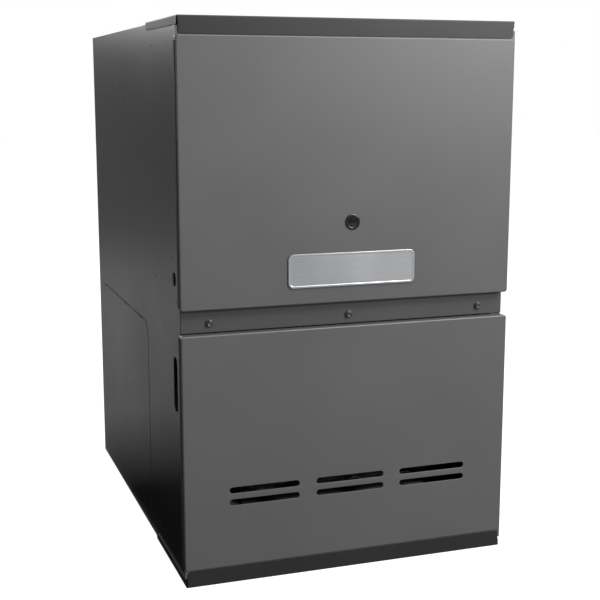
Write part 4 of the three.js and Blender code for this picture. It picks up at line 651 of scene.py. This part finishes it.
def makeTrim(node, name, up):
    x0, x1, y0, y1, z0, z1 = sizeOf(node)
    outer = z1 if up else z0
    way = -1 if up else 1
    holes = []
    if up:
        pipe = middleOf("vent_pipe")
        holes.append((circle(pipe.x, pipe.y, trimLook["pipeHole"], 64), 0.4))
    bm = bmesh.new()
    pan(bm, lambda a, b, back: Vector((a, b, outer + way * back)), (x0, x1, y0, y1),
            (z1 - z0, *(trimLook["flange"],) * 3), bend=trimLook["bend"], corner=trimLook["corner"],
            holes=holes, openCorners=True, endRound=trimLook["endRound"])
    makePiece(name, bm, "trimPowder", (node,), smooth=30)


def makeSidePanel(side):
    node = ("left" if side < 0 else "right") + "_side_panel"
    x0, x1, y0, y1, z0, z1 = sizeOf(node)
    outer = x0 if side < 0 else x1
    slot = sizeOf("gas_slot_plug")
    hole = middleOf("wiring_hole_plug")
    slotMiddle = ((slot[2] + slot[3]) / 2, (slot[4] + slot[5]) / 2)
    look, score = cabinetLook, cabinetLook["score"]
    holes = [(roundRect(*slotMiddle, *look["slot"]), 0.5),
            (circle(hole.y, hole.z, look["wireHole"], 40), 0.5)]
    # small pierced screw holes
    for back, down in look["piercedAt"]:
        holes.append((circle(back, z1 + 1.5 - down, look["pierced"], 16), 0.4))
    # the scored outline of the side air opening, left in place
    radius = score["radius"]
    path = [(score["rear"], score["top"])]
    for i in range(9):
        angle = math.radians(90 + 90 * i / 8)
        path.append((score["front"] + radius * (1 + math.cos(angle)),
                score["top"] - radius * (1 - math.sin(angle))))
    path.append((score["front"], score["foot"]))
    bm = bmesh.new()
    pan(bm, lambda a, b, back: Vector((outer - side * back, a, b)), (y0, y1, z0, z1),
            (*(look["flange"],) * 3, look["rearFlange"]), bend=look["bend"], corner=look["corner"],
            holes=holes, openCorners=True, scores=[(path, look["scoreWidth"], look["scoreDepth"])])
    piece = makePiece(node.replace("_side_panel", "SidePanel"), bm, "coilPaint", (node,), smooth=30)
    # the score's faces take this second finish: near black painted shade along the sheared line
    piece.data.materials.append(finishes["shearedLinePaintedShade"])


backLook = {"crease": 34, "creaseWide": 7, "creaseDeep": 0.9, "edge": 9, "screws": 6}


def makeBackPanel():
    x0, x1, y0, y1, z0, z1 = sizeOf("back_panel")
    look = backLook
    middle = Vector((0, (z0 + z1) / 2))
    creases = []
    for across in (-1, 1):
        for up in (-1, 1):
            corner = Vector((across * (x1 - look["crease"]),
                    middle.y + up * ((z1 - z0) / 2 - look["crease"])))
            tip = middle + (corner - middle).normalized() * 26
            creases.append(([tip.lerp(corner, i / 8) for i in range(9)], look["creaseWide"],
                    look["creaseDeep"]))
    bm = bmesh.new()
    pan(bm, lambda a, b, back: Vector((a, y1 - back, b)), (x0, x1, z0, z1),
            (y1 - y0, sheet, y1 - y0, sheet), bend=1.0, corner=1.6, openCorners=True, scores=creases)
    piece = makePiece("backPanel", bm, "coilPaint", ("back_panel",), smooth=20)
    piece.data.materials.append(finishes["coilPaint"])
    spots = [(side * (x1 - look["edge"]), y1,
            z0 + look["edge"] + i * (z1 - z0 - 2 * look["edge"]) / (look["screws"] - 1))
            for side in (-1, 1) for i in range(look["screws"])]
    spots += [(side * look["edge"] * 6, y1, z) for side in (-1, 1) for z in (z0 + look["edge"],
            z1 - look["edge"])]
    makeSheetScrews("backPanelScrews", spots, "y", 1)
    low = sizeOf("blower_housing")
    spots = [(side * 127.5, low[2] + 45 + i * 90, low[4] + sheet) for side in (-1, 1) for i in range(3)]
    makeSheetScrews("blowerFootScrews", spots, "z", 1)


def makeSheetScrews(name, spots, axisName, way):  # small hexagon washer-head screws, heads outward
    bm = bmesh.new()
    for spot in spots:
        turned(bm, [(0, -way * 0.6), (4.2, -way * 0.6), (4.4, way * 0.2), (4.1, way * 0.9),
                (0, way * 0.9)], spot, axisName, 20)
        turned(bm, [(0, way * 0.4), (3.1, way * 0.4), (3.1, way * 2.6), (2.7, way * 3.1), (1.9, way * 3.1),
                (1.6, way * 2.5), (0, way * 2.5)], spot, axisName, 6)
    makePiece(name, bm, "zincScrew", smooth=30)


def plate(bm, place, outline, holes=(), thick=sheet):  # a flat sheet with square-cut edges
    loops = [outline, *holes]
    near = [ring(bm, [place(a, b, 0) for a, b in loop]) for loop in loops]
    far = [ring(bm, [place(a, b, thick) for a, b in loop]) for loop in loops]
    for one, two in zip(near, far):
        bridge(bm, [one, two])
    fill(bm, near)
    fill(bm, far)


def box(a, b, width, height):
    return [(a + width / 2 * i, b + height / 2 * j) for i, j in ((-1, -1), (1, -1), (1, 1), (-1, 1))]


def roundedPath(corners, radius, steps=7):  # rounds the corners of a path of straight runs
    points = [Vector(corners[0])]
    for before, corner, after in zip(corners, corners[1:], corners[2:]):
        here = Vector(corner)
        one, two = (Vector(before) - here), (Vector(after) - here)
        reach = min(radius, one.length * 0.48, two.length * 0.48)
        start, end = here + one.normalized() * reach, here + two.normalized() * reach
        for i in range(steps + 1):
            t = i / steps
            points.append(start * (1 - t) ** 2 + here * (2 * t * (1 - t)) + end * t ** 2)
    return points + [Vector(corners[-1])]


def frames(points):  # two directions across a path at each of its points, without twist
    side = Vector((1, 0.013, 0.021))
    for i, point in enumerate(points):
        run = (points[min(i + 1, len(points) - 1)] - points[max(i - 1, 0)]).normalized()
        side = (side - run * side.dot(run)).normalized()
        yield point, side, run.cross(side)


def sweep(bm, points, radius, count=12):  # a round bar along a path
    solid(bm, [ring(bm, [point + (side * a + other * b) * radius for a, b in circle(0, 0, 1, count)])
            for point, side, other in frames(points)])


# the scroll grows from its throat to its outlet; the wheel's numbers follow it
blowerLook = {"half": 120, "start": 136, "end": 205, "turn": 245, "seam": 2.6, "seamDeep": 7,
        "footWide": 15,
        "sideHole": 104, "blades": 42, "bladeDeep": 22, "bladeSweep": 0.15, "bladeThick": 0.8}
# the inlet's rolled lip: radius and distance out from the side sheet
inletProfile = [(108, 0.7), (107.6, 2.2), (105.6, 2.6), (104, 4.4), (101, 5.8), (98, 5.4), (96, 3),
        (95, -1),
        (95, -9), (96.1, -9), (96.1, -1.4), (97.4, 1.8), (99, 3.8), (101, 4.4), (103, 3.2), (104.6, 1.0)]


def scrollPath(grow=0.0, steps=64):
    look = blowerLook
    axis = middleOf("blower_shaft")
    points = []
    for i in range(steps + 1):
        share = i / steps
        angle = math.radians(look["turn"] * (1 - share))
        radius = look["start"] + (look["end"] - look["start"]) * share + grow
        points.append((axis.y + radius * math.cos(angle), axis.z + radius * math.sin(angle)))
    foot = sizeOf("blower_housing")[4]
    return [(points[0][0], foot), *points, (points[-1][0], foot)]


def makeBlowerHousing():
    look = blowerLook
    axis = middleOf("blower_shaft")
    half, seam = look["half"], look["seam"]
    foot = sizeOf("blower_housing")[4]
    outer, inner = scrollPath(), scrollPath(-sheet)
    bm = bmesh.new()
    rings = [ring(bm, [(x, y, z) for y, z in path])
            for x, path in ((half, outer), (-half, outer), (-half, inner), (half, inner))]
    bridge(bm, rings, closed=False, loop=True)
    bm.faces.new([r[0] for r in rings])
    bm.faces.new([r[-1] for r in rings])
    makePiece("blowerScroll", bm, "galvanised", ("blower_housing",), smooth=40)
    outline = scrollPath()[::-1]  # anticlockwise seen from the right

    def around(bm, grow, x):
        return ring(bm, [(x, a, max(b, foot)) for a, b in offsetLoop(outline, grow)])

    # each side sheet's edge is rolled over the scroll's edge; pairs are growth and place across
    lock = [(0.1, half - look["seamDeep"]), (seam * 0.7, half - look["seamDeep"] - 0.4), (seam, half - 6),
            (seam, half + 0.6), (seam * 0.6, half + 1.4), (0.4, half + 1.2), (-1.6, half + 0.6)]
    for side, hand in ((-1, "Left"), (1, "Right")):
        bm = bmesh.new()
        rings = [around(bm, grow, side * x) for grow, x in lock]
        bridge(bm, rings)
        back = around(bm, -1.6, side * (half - 0.6))
        near, far = [ring(bm, [(side * x, a, b) for a, b in circle(axis.y, axis.z, look["sideHole"], 64)])
                for x in (half + 0.6, half - 0.6)]
        bridge(bm, [near, far])
        bridge(bm, [back, rings[0]])
        fill(bm, [rings[-1], near])
        fill(bm, [back, far])
        makePiece("blowerSide" + hand, bm, "galvanised", smooth=40)
        bm = bmesh.new()
        turned(bm, [(radius, side * (half + along)) for radius, along in inletProfile],
                (0, axis.y, axis.z), "x", 72, loop=True)
        makePiece("blowerInlet" + hand, bm, "galvanised", smooth=40)
    y0, y1 = outer[0][0], outer[-1][0]
    middle, wide = (y0 + y1) / 2, 2 * look["footWide"]
    bm = bmesh.new()
    plate(bm, lambda a, b, up: Vector((a, b, foot + up)), box(0, middle, 2 * half + wide, y1 - y0 + wide),
          [box(0, middle, 2 * half - 2, y1 - y0 - 2)])
    makePiece("blowerFootFlange", bm, "galvanised", edge=0.3)


def makeBlowerWheel():
    look = blowerLook
    x0, x1, y0, y1, z0, z1 = sizeOf("blower_wheel")
    axis = middleOf("blower_shaft")
    outside = (z1 - z0) / 2
    inside = outside - look["bladeDeep"]
    centre = (0, axis.y, axis.z)
    bm = bmesh.new()
    for end in (-1, 1):  # rolled end rings
        turned(bm, [(outside, end * x1), (outside, end * (x1 - 9)), (outside - 1, end * (x1 - 9)),
                (outside - 1, end * (x1 - 1)), (inside, end * (x1 - 1)), (inside - 1, end * (x1 - 0.6)),
                (inside, end * x1)], centre, "x", 84, loop=True)
    # hub and pressed centre disc
    turned(bm, [(0, 12), (12, 12), (13, 11), (13, 2.4), (40, 2.4), (44, 5), (80, 5), (84, 1.2),
            (inside + 4, 1.2), (inside + 4, 0), (84, 0), (80, 3.8), (44, 3.8), (40, 1.2), (13, 1.2),
            (13, -11), (12, -12), (0, -12)], centre, "x", 84)
    for i in range(look["blades"]):
        base = 2 * math.pi * i / look["blades"]
        section = []
        for way, shares in ((1, (0, 0.2, 0.4, 0.6, 0.8, 1)), (-1, (1, 0.8, 0.6, 0.4, 0.2, 0))):
            for share in shares:
                radius = inside + (outside - 1.2 - inside) * share
                angle = base + look["bladeSweep"] * share ** 1.8 + way * look["bladeThick"] / 2 / radius
                section.append((axis.y + radius * math.cos(angle), axis.z + radius * math.sin(angle)))
        solid(bm, [ring(bm, [(end, a, b) for a, b in section]) for end in (1.2 - x1, x1 - 1.2)])
    makePiece("blowerWheel", bm, "galvanised", ("blower_wheel",), "blower_wheel", smooth=40)


motorLook = {"radius": 70, "slots": 12, "slotAt": 0.68, "slotLong": 0.26, "windingAt": 0.66,
        "windingThick": 0.2, "boltAt": 0.88, "boltRadius": 3.4, "bell": 3.6, "step": 15.6}


def makeBlowerMotor():
    # a rolled shell between two pressed end bells, with cooling slots and the copper winding behind them
    look = motorLook
    axis = middleOf("blower_motor")
    outer, inner, y0, y1, z0, z1 = sizeOf("blower_motor")
    radius, step = look["radius"], look["step"]
    centre = (0, axis.y, axis.z)
    bm = bmesh.new()
    half = [(radius - 7, 5), (radius - 3, 5.6), (radius - 1, 8), (radius - 1, step - 0.6), (radius, step)]
    shell = [(r, outer + along) for r, along in half] + [(r, inner - along) for r, along in reversed(half)]
    turned(bm, shell + [(radius - 12, inner - 5), (radius - 12, outer + 5)], centre, "x", 56, loop=True)
    makePiece("blowerMotorShell", bm, "motorEnamel", ("blower_motor",), smooth=40)
    for end, way, label in ((outer, 1, "Outer"), (inner, -1, "Inner")):
        bm = bmesh.new()
        flat = end + way * look["bell"]
        wide = math.pi * radius * 0.66 / look["slots"]
        slot = roundRect(0, 0, radius * look["slotLong"], wide, wide * 0.45, 4)
        out, holes = radius * look["slotAt"], []
        for i in range(look["slots"]):
            c, s = (f(2 * math.pi * (i + 0.5) / look["slots"]) for f in (math.cos, math.sin))
            holes.append([((out + a) * c - b * s, (out + a) * s + b * c) for a, b in slot])
        plate(bm, lambda a, b, deep: Vector((flat + way * deep, axis.y + a, axis.z + b)),
              circle(0, 0, radius - 4, 56), holes, 1.6)
        turned(bm, [(0, end), (radius * 0.16, end), (radius * 0.2, end + way * 1.2),
                (radius * 0.23, end + way * 4.4),
                (0, end + way * 4.4)], centre, "x", 32)  # bearing boss
        bolt = look["boltRadius"]
        for i in range(4):
            angle = math.radians(45 + 90 * i)
            spot = (flat, axis.y + radius * look["boltAt"] * math.cos(angle),
                    axis.z + radius * look["boltAt"] * math.sin(angle))
            turned(bm, [(0, -way * 3), (bolt - 0.4, -way * 3), (bolt, -way * 2.4), (bolt, way * 0.5),
                    (0, way * 0.5)], spot, "x", 6)
        makePiece("blowerMotorBell" + label, bm, "motorEnamel", smooth=40)
        bm = bmesh.new()
        thick = radius * look["windingThick"]
        turned(bm, [(radius * look["windingAt"] + thick * a, end + way * 14 + thick * 0.6 * b)
                for a, b in circle(0, 0, 1, 12)], centre, "x", 48, loop=True)
        makePiece("blowerMotorWinding" + label, bm, "copperWinding", smooth=60)


# the burner's outline: radius and distance from its mouth
burnerProfile = [(16, 3.2), (13.4, 10), (11.8, 17), (11.2, 24), (11.6, 34), (13.2, 46), (15, 58)]
burnerLook = {"head": 15.0, "wall": 1.2, "holder": 5.5, "ports": 12, "portRadius": 1.5, "portAt": 9.3}


def makeBurners():
    look = burnerLook
    for i in (1, 2, 3, 4):
        node = f"burner_{i}"
        x0, x1, y0, y1, z0, z1 = sizeOf(node)
        middle = middleOf(node)
        most, length = (z1 - z0) / 2, y1 - y0
        outer = [(most, 0), (most, 1.0), *burnerProfile, (look["head"], length - 6),
                (most - 1.2, length - 5), (most - 1.2, length)]
        bm = bmesh.new()
        turned(bm, [(r, y0 + along) for r, along in outer] + [(r - look["wall"], y0 + along) for r,
                along in outer[::-1]], (middle.x, 0, middle.z), "y", 40, loop=True)
        makePiece(f"burnerTube{i}", bm, "aluminised", (node,), smooth=40)
        bm = bmesh.new()  # the flame holder: a pressed disc with a wide hole and a ring of small ports
        ports = [circle(a, b, look["portRadius"], 8) for a,
                b in circle(0, 0, look["portAt"], look["ports"])]
        plate(bm, lambda a, b, deep: Vector((middle.x + a, y1 - 5 + deep, middle.z + b)),
                circle(0, 0, look["head"] - look["wall"], 40),
                [circle(0, 0, look["holder"], 20), *ports], 1.0)
        makePiece(f"burnerFlameHolder{i}", bm, "aluminised", smooth=40)


pipeLook = {"beads": (60, 414), "bead": 0.4, "seamHalf": 3, "seamEnd": 26}


def makeVentPipe():
    look = pipeLook
    x0, x1, y0, y1, z0, z1 = sizeOf("vent_pipe")
    middle = middleOf("vent_pipe")
    bead = look["bead"]
    radius = (x1 - x0) / 2 - bead
    outer = [(radius, z0)]
    for rise in look["beads"]:  # rolled stiffening beads
        outer += [(radius + out, z0 + rise + step) for out,
                step in ((0, -3), (bead, -1), (bead, 1), (0, 3))]
    outer += [(radius, z1 - 0.6), (radius - 0.3, z1)]
    bm = bmesh.new()
    turned(bm, outer + [(r - sheet, along) for r, along in outer[::-1]], (middle.x, middle.y, 0), "z",
            72, loop=True)
    blockOf(bm, middle.x - look["seamHalf"], middle.x + look["seamHalf"], middle.y + radius - 0.8,
            middle.y + radius + bead, z0 + 1, z1 - look["seamEnd"])  # the lock seam
    makePiece("ventPipe", bm, "galvanised", ("vent_pipe",), smooth=40)


# parts on the board: place from its lower left corner, width, height, how far out, rounding and finish
boardParts = {
    "relayLeft": (10, 87, 24, 30, 18, 1.0, "relayBlack"),
    "relayRight": (40, 87, 24, 30, 18, 1.0, "relayBlack"),
    "fuseHolder": (70, 97, 30, 18, 7, 0.8, "blackPlastic"),
    "processor": (128, 50, 24, 20, 2.6, 0.2, "relayBlack"),
    "terminalStrip": (12, 6, 80, 10, 7, 0.4, "terminalGrey"),
    "boardPlug": (134, 8, 24, 16, 12, 0.6, "plugWhite"),
}
terminalLook = {"bays": 8, "pitch": 9.8, "rib": 1.6, "ribOut": 10, "screw": 3.1}


def makeControlBoard():
    x0, x1, y0, y1, z0, z1 = sizeOf("control_board")
    thick = 1.6
    face = y1 - thick  # front of the bare board
    bm = bmesh.new()
    holes = [circle(a, b, 2, 16) for a in (x0 + 5, x1 - 5) for b in (z0 + 5, z1 - 5)]
    plate(bm, lambda a, b, deep: Vector((a, face + deep, b)),
          roundRect((x0 + x1) / 2, (z0 + z1) / 2, x1 - x0, z1 - z0, 2, 3), holes, thick)
    makePiece("controlBoard", bm, "solderMask", ("control_board",))
    for name, (left, low, width, height, depth, edge, finish) in boardParts.items():
        bm = bmesh.new()
        blockOf(bm, x0 + left, x0 + left + width, face - depth, face - 0.02, z0 + low, z0 + low + height)
        makePiece(name, bm, finish, edge=edge)

    def onBoard(name, finish, blocks, edge=0.0):  # small blocks: left, width, near, far, low, height
        bm = bmesh.new()
        for left, width, near, far, low, height in blocks:
            blockOf(bm, x0 + left, x0 + left + width, face - near, face - far, z0 + low, z0 + low + height)
        makePiece(name, bm, finish, edge=edge)

    look = terminalLook
    onBoard("bladeFuse", "fuseTint", [(75, 20, 14, 7, 103, 6)], 0.8)
    onBoard("processorLegs", "tinSolder",
            [(129.2 + i * 2.4, 1.0, 1.4, 0, low, 1.4) for i in range(10) for low in (48.6, 70)])
    onBoard("terminalRibs", "terminalGrey",
            [(12 + i * look["pitch"], look["rib"], look["ribOut"], 6.9, 6.2,
            9.6) for i in range(look["bays"] + 1)], 0.3)
    onBoard("smallResistors", "ceramic",
            [(20 + i * 12, 6, 2.2, 0, 40 + (i % 3) * 9, 2.4) for i in range(7)]
            + [(24 + i * 12, 2.4, 2.2, 0, 66 - (i % 2) * 6, 6) for i in range(7)], 0.3)
    bm = bmesh.new()
    screw = look["screw"]
    for i in range(look["bays"]):
        turned(bm, [(0, -9), (screw - 0.5, -9), (screw, -8.6), (screw, -6.9), (0, -6.9)],
               (x0 + 17.7 + i * look["pitch"], face, z0 + 11), "y", 16)
    makePiece("terminalScrews", bm, "zincScrew")
    bm = bmesh.new()
    for left, low, radius, high in ((112, 100, 6, 14), (128, 104, 4.5, 12), (112, 84, 4, 11)):
        turned(bm, [(0, -high), (radius - 0.6, -high), (radius, -high + 0.6), (radius, -2),
                (radius - 0.5, -1.4), (radius, -0.8), (radius, 0), (0, 0)], (x0 + left, face, z0 + low),
                "y", 28)
    makePiece("smoothingCapacitors", bm, "relayBlack")
    bm = bmesh.new()  # stands behind the sight glass
    turned(bm, [(0, -6), (1.6, -5.6), (2.4, -4.6), (2.5, -1), (2.9, -1), (2.9, 0), (0, 0)],
           (0, face, middleOf("sight_glass_lens").z), "y", 20)
    makePiece("statusLamp", bm, "lampRed")


transformerLook = {"laminations": 16, "gap": 0.5, "inset": 16,
        "coil": ((3, 14.2), (0, 15.4), (0, 24), (3, 29.4), (9, 30))}


def makeTransformer():
    look = transformerLook
    x0, x1, y0, y1, z0, z1 = sizeOf("transformer")
    middle = middleOf("transformer")
    pitch = (y1 - y0 - 3.6) / look["laminations"]
    inset = look["inset"]
    bm = bmesh.new()
    for i in range(look["laminations"]):
        front = y0 + 1.4 + i * pitch
        blockOf(bm, x0 + inset, x1 - inset, front, front + pitch - look["gap"], z0, z1)
    blockOf(bm, x0 + inset + 0.6, x1 - inset - 0.6, y0 + 1.6, y1 - 2.4, z0 + 0.6, z1 - 0.6)
    makePiece("transformerCore", bm, "motorEnamel", ("transformer",))
    bm = bmesh.new()
    for side in (-1, 1):
        rings = []
        for cut, x in look["coil"]:
            size = (y1 - y0 - 16 - 2 * cut, z1 - z0 - 16 - 2 * cut)
            outline = roundRect(middle.y, middle.z, *size, 4, 5)
            rings.append(ring(bm, [(middle.x + side * x, a, b) for a, b in outline]))
        solid(bm, rings)
    makePiece("transformerWindings", bm, "windingTape", edge=0.4)
    bm = bmesh.new()
    blockOf(bm, x0, x1, y1 - sheet, y1, z0, z0 + 12)
    blockOf(bm, x0 + 15, x1 - 15, y0, y0 + 1.2, z0 + 2, z1 - 2)
    makePiece("transformerFrame", bm, "galvanised", edge=0.4)


wireLook = {"across": -40, "back": 118, "valveBack": 60, "fall": 14, "slope": 38, "bend": 12, "lay": 34,
        "spread": 3.0, "radius": 1.45, "ties": (0.12, 0.34, 0.58, 0.86), "tie": 4.95}


def makeWires():
    # five separate wires in a loose lay take the place of the plain round harness
    look = wireLook
    x0, x1, y0, y1, z0, z1 = sizeOf("wiring_harness")
    plug, valveTop = z1 - 5, z0 + 5
    across, back, valveBack = look["across"], look["back"], look["valveBack"]
    path = roundedPath([(across, y1, plug), (across, back, plug), (across, back, valveTop + look["fall"]),
            (x0 + look["slope"], valveBack, valveTop), (x0, valveBack, valveTop)], look["bend"], 8)
    fine = []
    for one, two in zip(path, path[1:]):
        count = max(1, int((two - one).length / 6))
        fine += [one.lerp(two, i / count) for i in range(count)]
    fine.append(path[-1])
    walked = [0]
    for one, two in zip(fine, fine[1:]):
        walked.append(walked[-1] + (two - one).length)
    for index, colour in enumerate(wireColours):
        points = []
        for (point, side, other), along in zip(frames(fine), walked):
            turn = 2 * math.pi * index / len(wireColours) + along / look["lay"]
            points.append(point + (side * math.cos(turn) + other * math.sin(turn)) * look["spread"])
        bm = bmesh.new()
        sweep(bm, points, look["radius"], 10)
        name = "wire" + colour
        makePiece(name, bm, name, ("wiring_harness",) if index == 0 else (), smooth=60)
    bm = bmesh.new()
    for share in look["ties"]:
        at = int(share * (len(fine) - 1))
        run = (fine[at + 1] - fine[at - 1]).normalized() * 1.3
        sweep(bm, [fine[at] - run, fine[at] + run], look["tie"], 20)
    makePiece("cableTies", bm, "blackPlastic", edge=0.3)


hoseLook = {"radius": 3.5, "bend": 20, "clamp": 4.1, "wire": 0.6, "clampAt": 6, "clampGap": 2.2}


def makePressureHose():
    look = hoseLook
    x0, x1, y0, y1, z0, z1 = sizeOf("pressure_hose")
    inset = look["radius"]
    left, front, low, high = x0 + inset, y0 + inset, z0 + inset, z1 - inset
    bm = bmesh.new()
    sweep(bm, roundedPath([(left, y1, low), (left, front, low), (left, front, high), (x1, front, high)],
            look["bend"], 12), inset, 20)
    makePiece("pressureHose", bm, "siliconeHose", ("pressure_hose",), smooth=60)
    bm = bmesh.new()
    for spot, axisName, along in (((left, 0, low), "y", y1 - look["clampAt"]),
            ((0, front, high), "x", x1 - look["clampAt"])):
        for step in (0, look["clampGap"]):
            turned(bm, circle(look["clamp"], along + step, look["wire"], 8), spot, axisName, 24, loop=True)
    makePiece("hoseClamps", bm, "zincScrew", smooth=60)


knobLook = {"stem": 4, "radius": 11.9, "deep": 9.8, "grip": 2.2, "flute": 0.35, "points": 72}


def makeGasKnob():
    look = knobLook
    x0, x1, y0, y1, z0, z1 = sizeOf("gas_valve_knob")
    middle = middleOf("gas_valve_knob")
    front = y0 + look["grip"]
    skirt = look["radius"]
    bm = bmesh.new()
    rings = []
    for radius, along, flute in ((look["stem"], y1, 0), (look["stem"], front + look["deep"], 0),
            (skirt - 0.7, front + look["deep"], 0), (skirt, front + look["deep"] - 0.6, look["flute"]),
            (skirt, front + 1.2, look["flute"]), (skirt - 0.9, front, 0), (9.5, front + 0.4, 0)):
        points = []
        for i in range(look["points"]):
            angle = 2 * math.pi * i / look["points"]
            out = radius - (flute if i % 3 == 0 else 0)  # moulded grip flutes
            points.append((middle.x + out * math.cos(angle), along, middle.z + out * math.sin(angle)))
        rings.append(ring(bm, points))
    solid(bm, rings)
    makePiece("gasKnob", bm, "knobBlack", ("gas_valve_knob",), "gas_valve_knob", smooth=40)
    bm = bmesh.new()
    solid(bm, [ring(bm, [(a, along, b) for a,
            b in roundRect(middle.x, middle.z, wide, high, wide * 0.42, 5)])
            for wide, high, along in ((5.6, 21, front + 0.6), (5.2, 20.6, front - 1.4), (3.8, 19, y0))])
    makePiece("gasKnobGrip", bm, "knobBlack", (), "gas_valve_knob", smooth=40, edge=0.3)


capacitorLook = {"rim": 1.2, "top": 9, "tabAcross": 9, "tabGap": 5.2}


def makeCapacitor():
    look = capacitorLook
    x0, x1, y0, y1, z0, z1 = sizeOf("run_capacitor")
    middle = middleOf("run_capacitor")
    rim = look["rim"]
    radius = (x1 - x0) / 2 - rim
    can = z1 - look["top"]
    bm = bmesh.new()
    turned(bm, [(0, z0), (radius - 2, z0), (radius, z0 + 2), (radius, can - 3),
            (radius + rim - 0.1, can - 2.2), (radius + rim, can - 0.8), (radius + rim / 2, can),
            (radius - 0.8, can), (radius - 1.4, can - 1.4), (0, can - 1.4)], (middle.x, middle.y, 0),
            "z", 56)
    makePiece("capacitorCan", bm, "plateAluminium", ("run_capacitor",), smooth=40)
    bm = bmesh.new()
    for across in (middle.x - look["tabAcross"], middle.x + look["tabAcross"]):
        for back in (middle.y - look["tabGap"], middle.y + look["tabGap"]):
            blockOf(bm, across - 0.4, across + 0.4, back - 3, back + 3, can - 1.4, z1)
    makePiece("capacitorTabs", bm, "tinSolder", edge=0.15)


# CAD nodes that keep their own shape and get a finish
kept = {
    "galvanised": ["return_air_frame", "supply_air_frame", "center_rail", "blower_deck", "vestibule_panel",
        "blower_motor_mount", "inducer_wheel",
        "heat_exchanger_support", "burner_rack", "control_bracket", "junction_box", "capacitor_strap"],
    "blackPlastic": ["wiring_hole_plug", "gas_slot_plug", "inducer_housing", "pressure_switch",
    "door_switch_body"],
    "fibreLiner": ["upper_door_liner"],
    "zincScrew": ["blower_shaft"],
    "motorEnamel": ["inducer_motor"],
    "aluminised": ["collector_box"] + [f"heat_exchanger_tube_{i}" for i in (1, 2, 3, 4)],
    "ceramic": ["flame_sensor", "hot_surface_ignitor", "rollout_switch", "limit_switch",
    "door_switch_plunger"],
    "blackPipe": ["gas_manifold"],
    "castAluminium": ["gas_valve"],
}


# shades smooth between faces that meet flatter than 35 degrees, without touching the mesh
def makeSmoother():
    group = bpy.data.node_groups.new("smoothByAngle", "GeometryNodeTree")
    group.interface.new_socket("Geometry", in_out="INPUT", socket_type="NodeSocketGeometry")
    group.interface.new_socket("Geometry", in_out="OUTPUT", socket_type="NodeSocketGeometry")
    start = group.nodes.new("NodeGroupInput")
    end = group.nodes.new("NodeGroupOutput")
    faces = group.nodes.new("GeometryNodeSetShadeSmooth")
    edges = group.nodes.new("GeometryNodeSetShadeSmooth")
    edges.domain = "EDGE"
    angle = group.nodes.new("GeometryNodeInputMeshEdgeAngle")
    flat = group.nodes.new("FunctionNodeCompare")
    flat.operation = "LESS_EQUAL"
    flat.inputs[1].default_value = math.radians(35)
    group.links.new(start.outputs[0], faces.inputs["Geometry"])
    group.links.new(faces.outputs[0], edges.inputs["Geometry"])
    group.links.new(angle.outputs[0], flat.inputs[0])
    group.links.new(flat.outputs[0], edges.inputs["Shade Smooth"])
    group.links.new(edges.outputs[0], end.inputs[0])
    return group


def dressKept():
    smoother = makeSmoother()
    for finish, nodes in kept.items():
        for node in nodes:
            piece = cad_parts[node]
            piece.data.materials.clear()
            piece.data.materials.append(finishes[finish])
            weld = piece.modifiers.new("joined", "WELD")
            weld.merge_threshold = 0.01 * mm
            smooth = piece.modifiers.new("smoothByAngle", "NODES")
            smooth.node_group = smoother
            soften(piece, 0.35)


setStage()
print("stage set")
makeUpperDoor()
makeLowerDoor()
makeDoorScrews()
makeSightGlass()
makeNameplate()
print("doors made")
makeTrim("top_front_trim", "topFrontTrim", True)
makeTrim("bottom_front_trim", "bottomFrontTrim", False)
makeSidePanel(-1)
makeSidePanel(1)
makeBackPanel()
print("cabinet made")
makeBlowerHousing()
makeBlowerWheel()
makeBlowerMotor()
makeCapacitor()
print("blower made")
makeBurners()
makeVentPipe()
makeGasKnob()
makePressureHose()
print("heat side made")
makeControlBoard()
makeTransformer()
makeWires()
print("controls made")
dressKept()
print("kept pieces dressed")
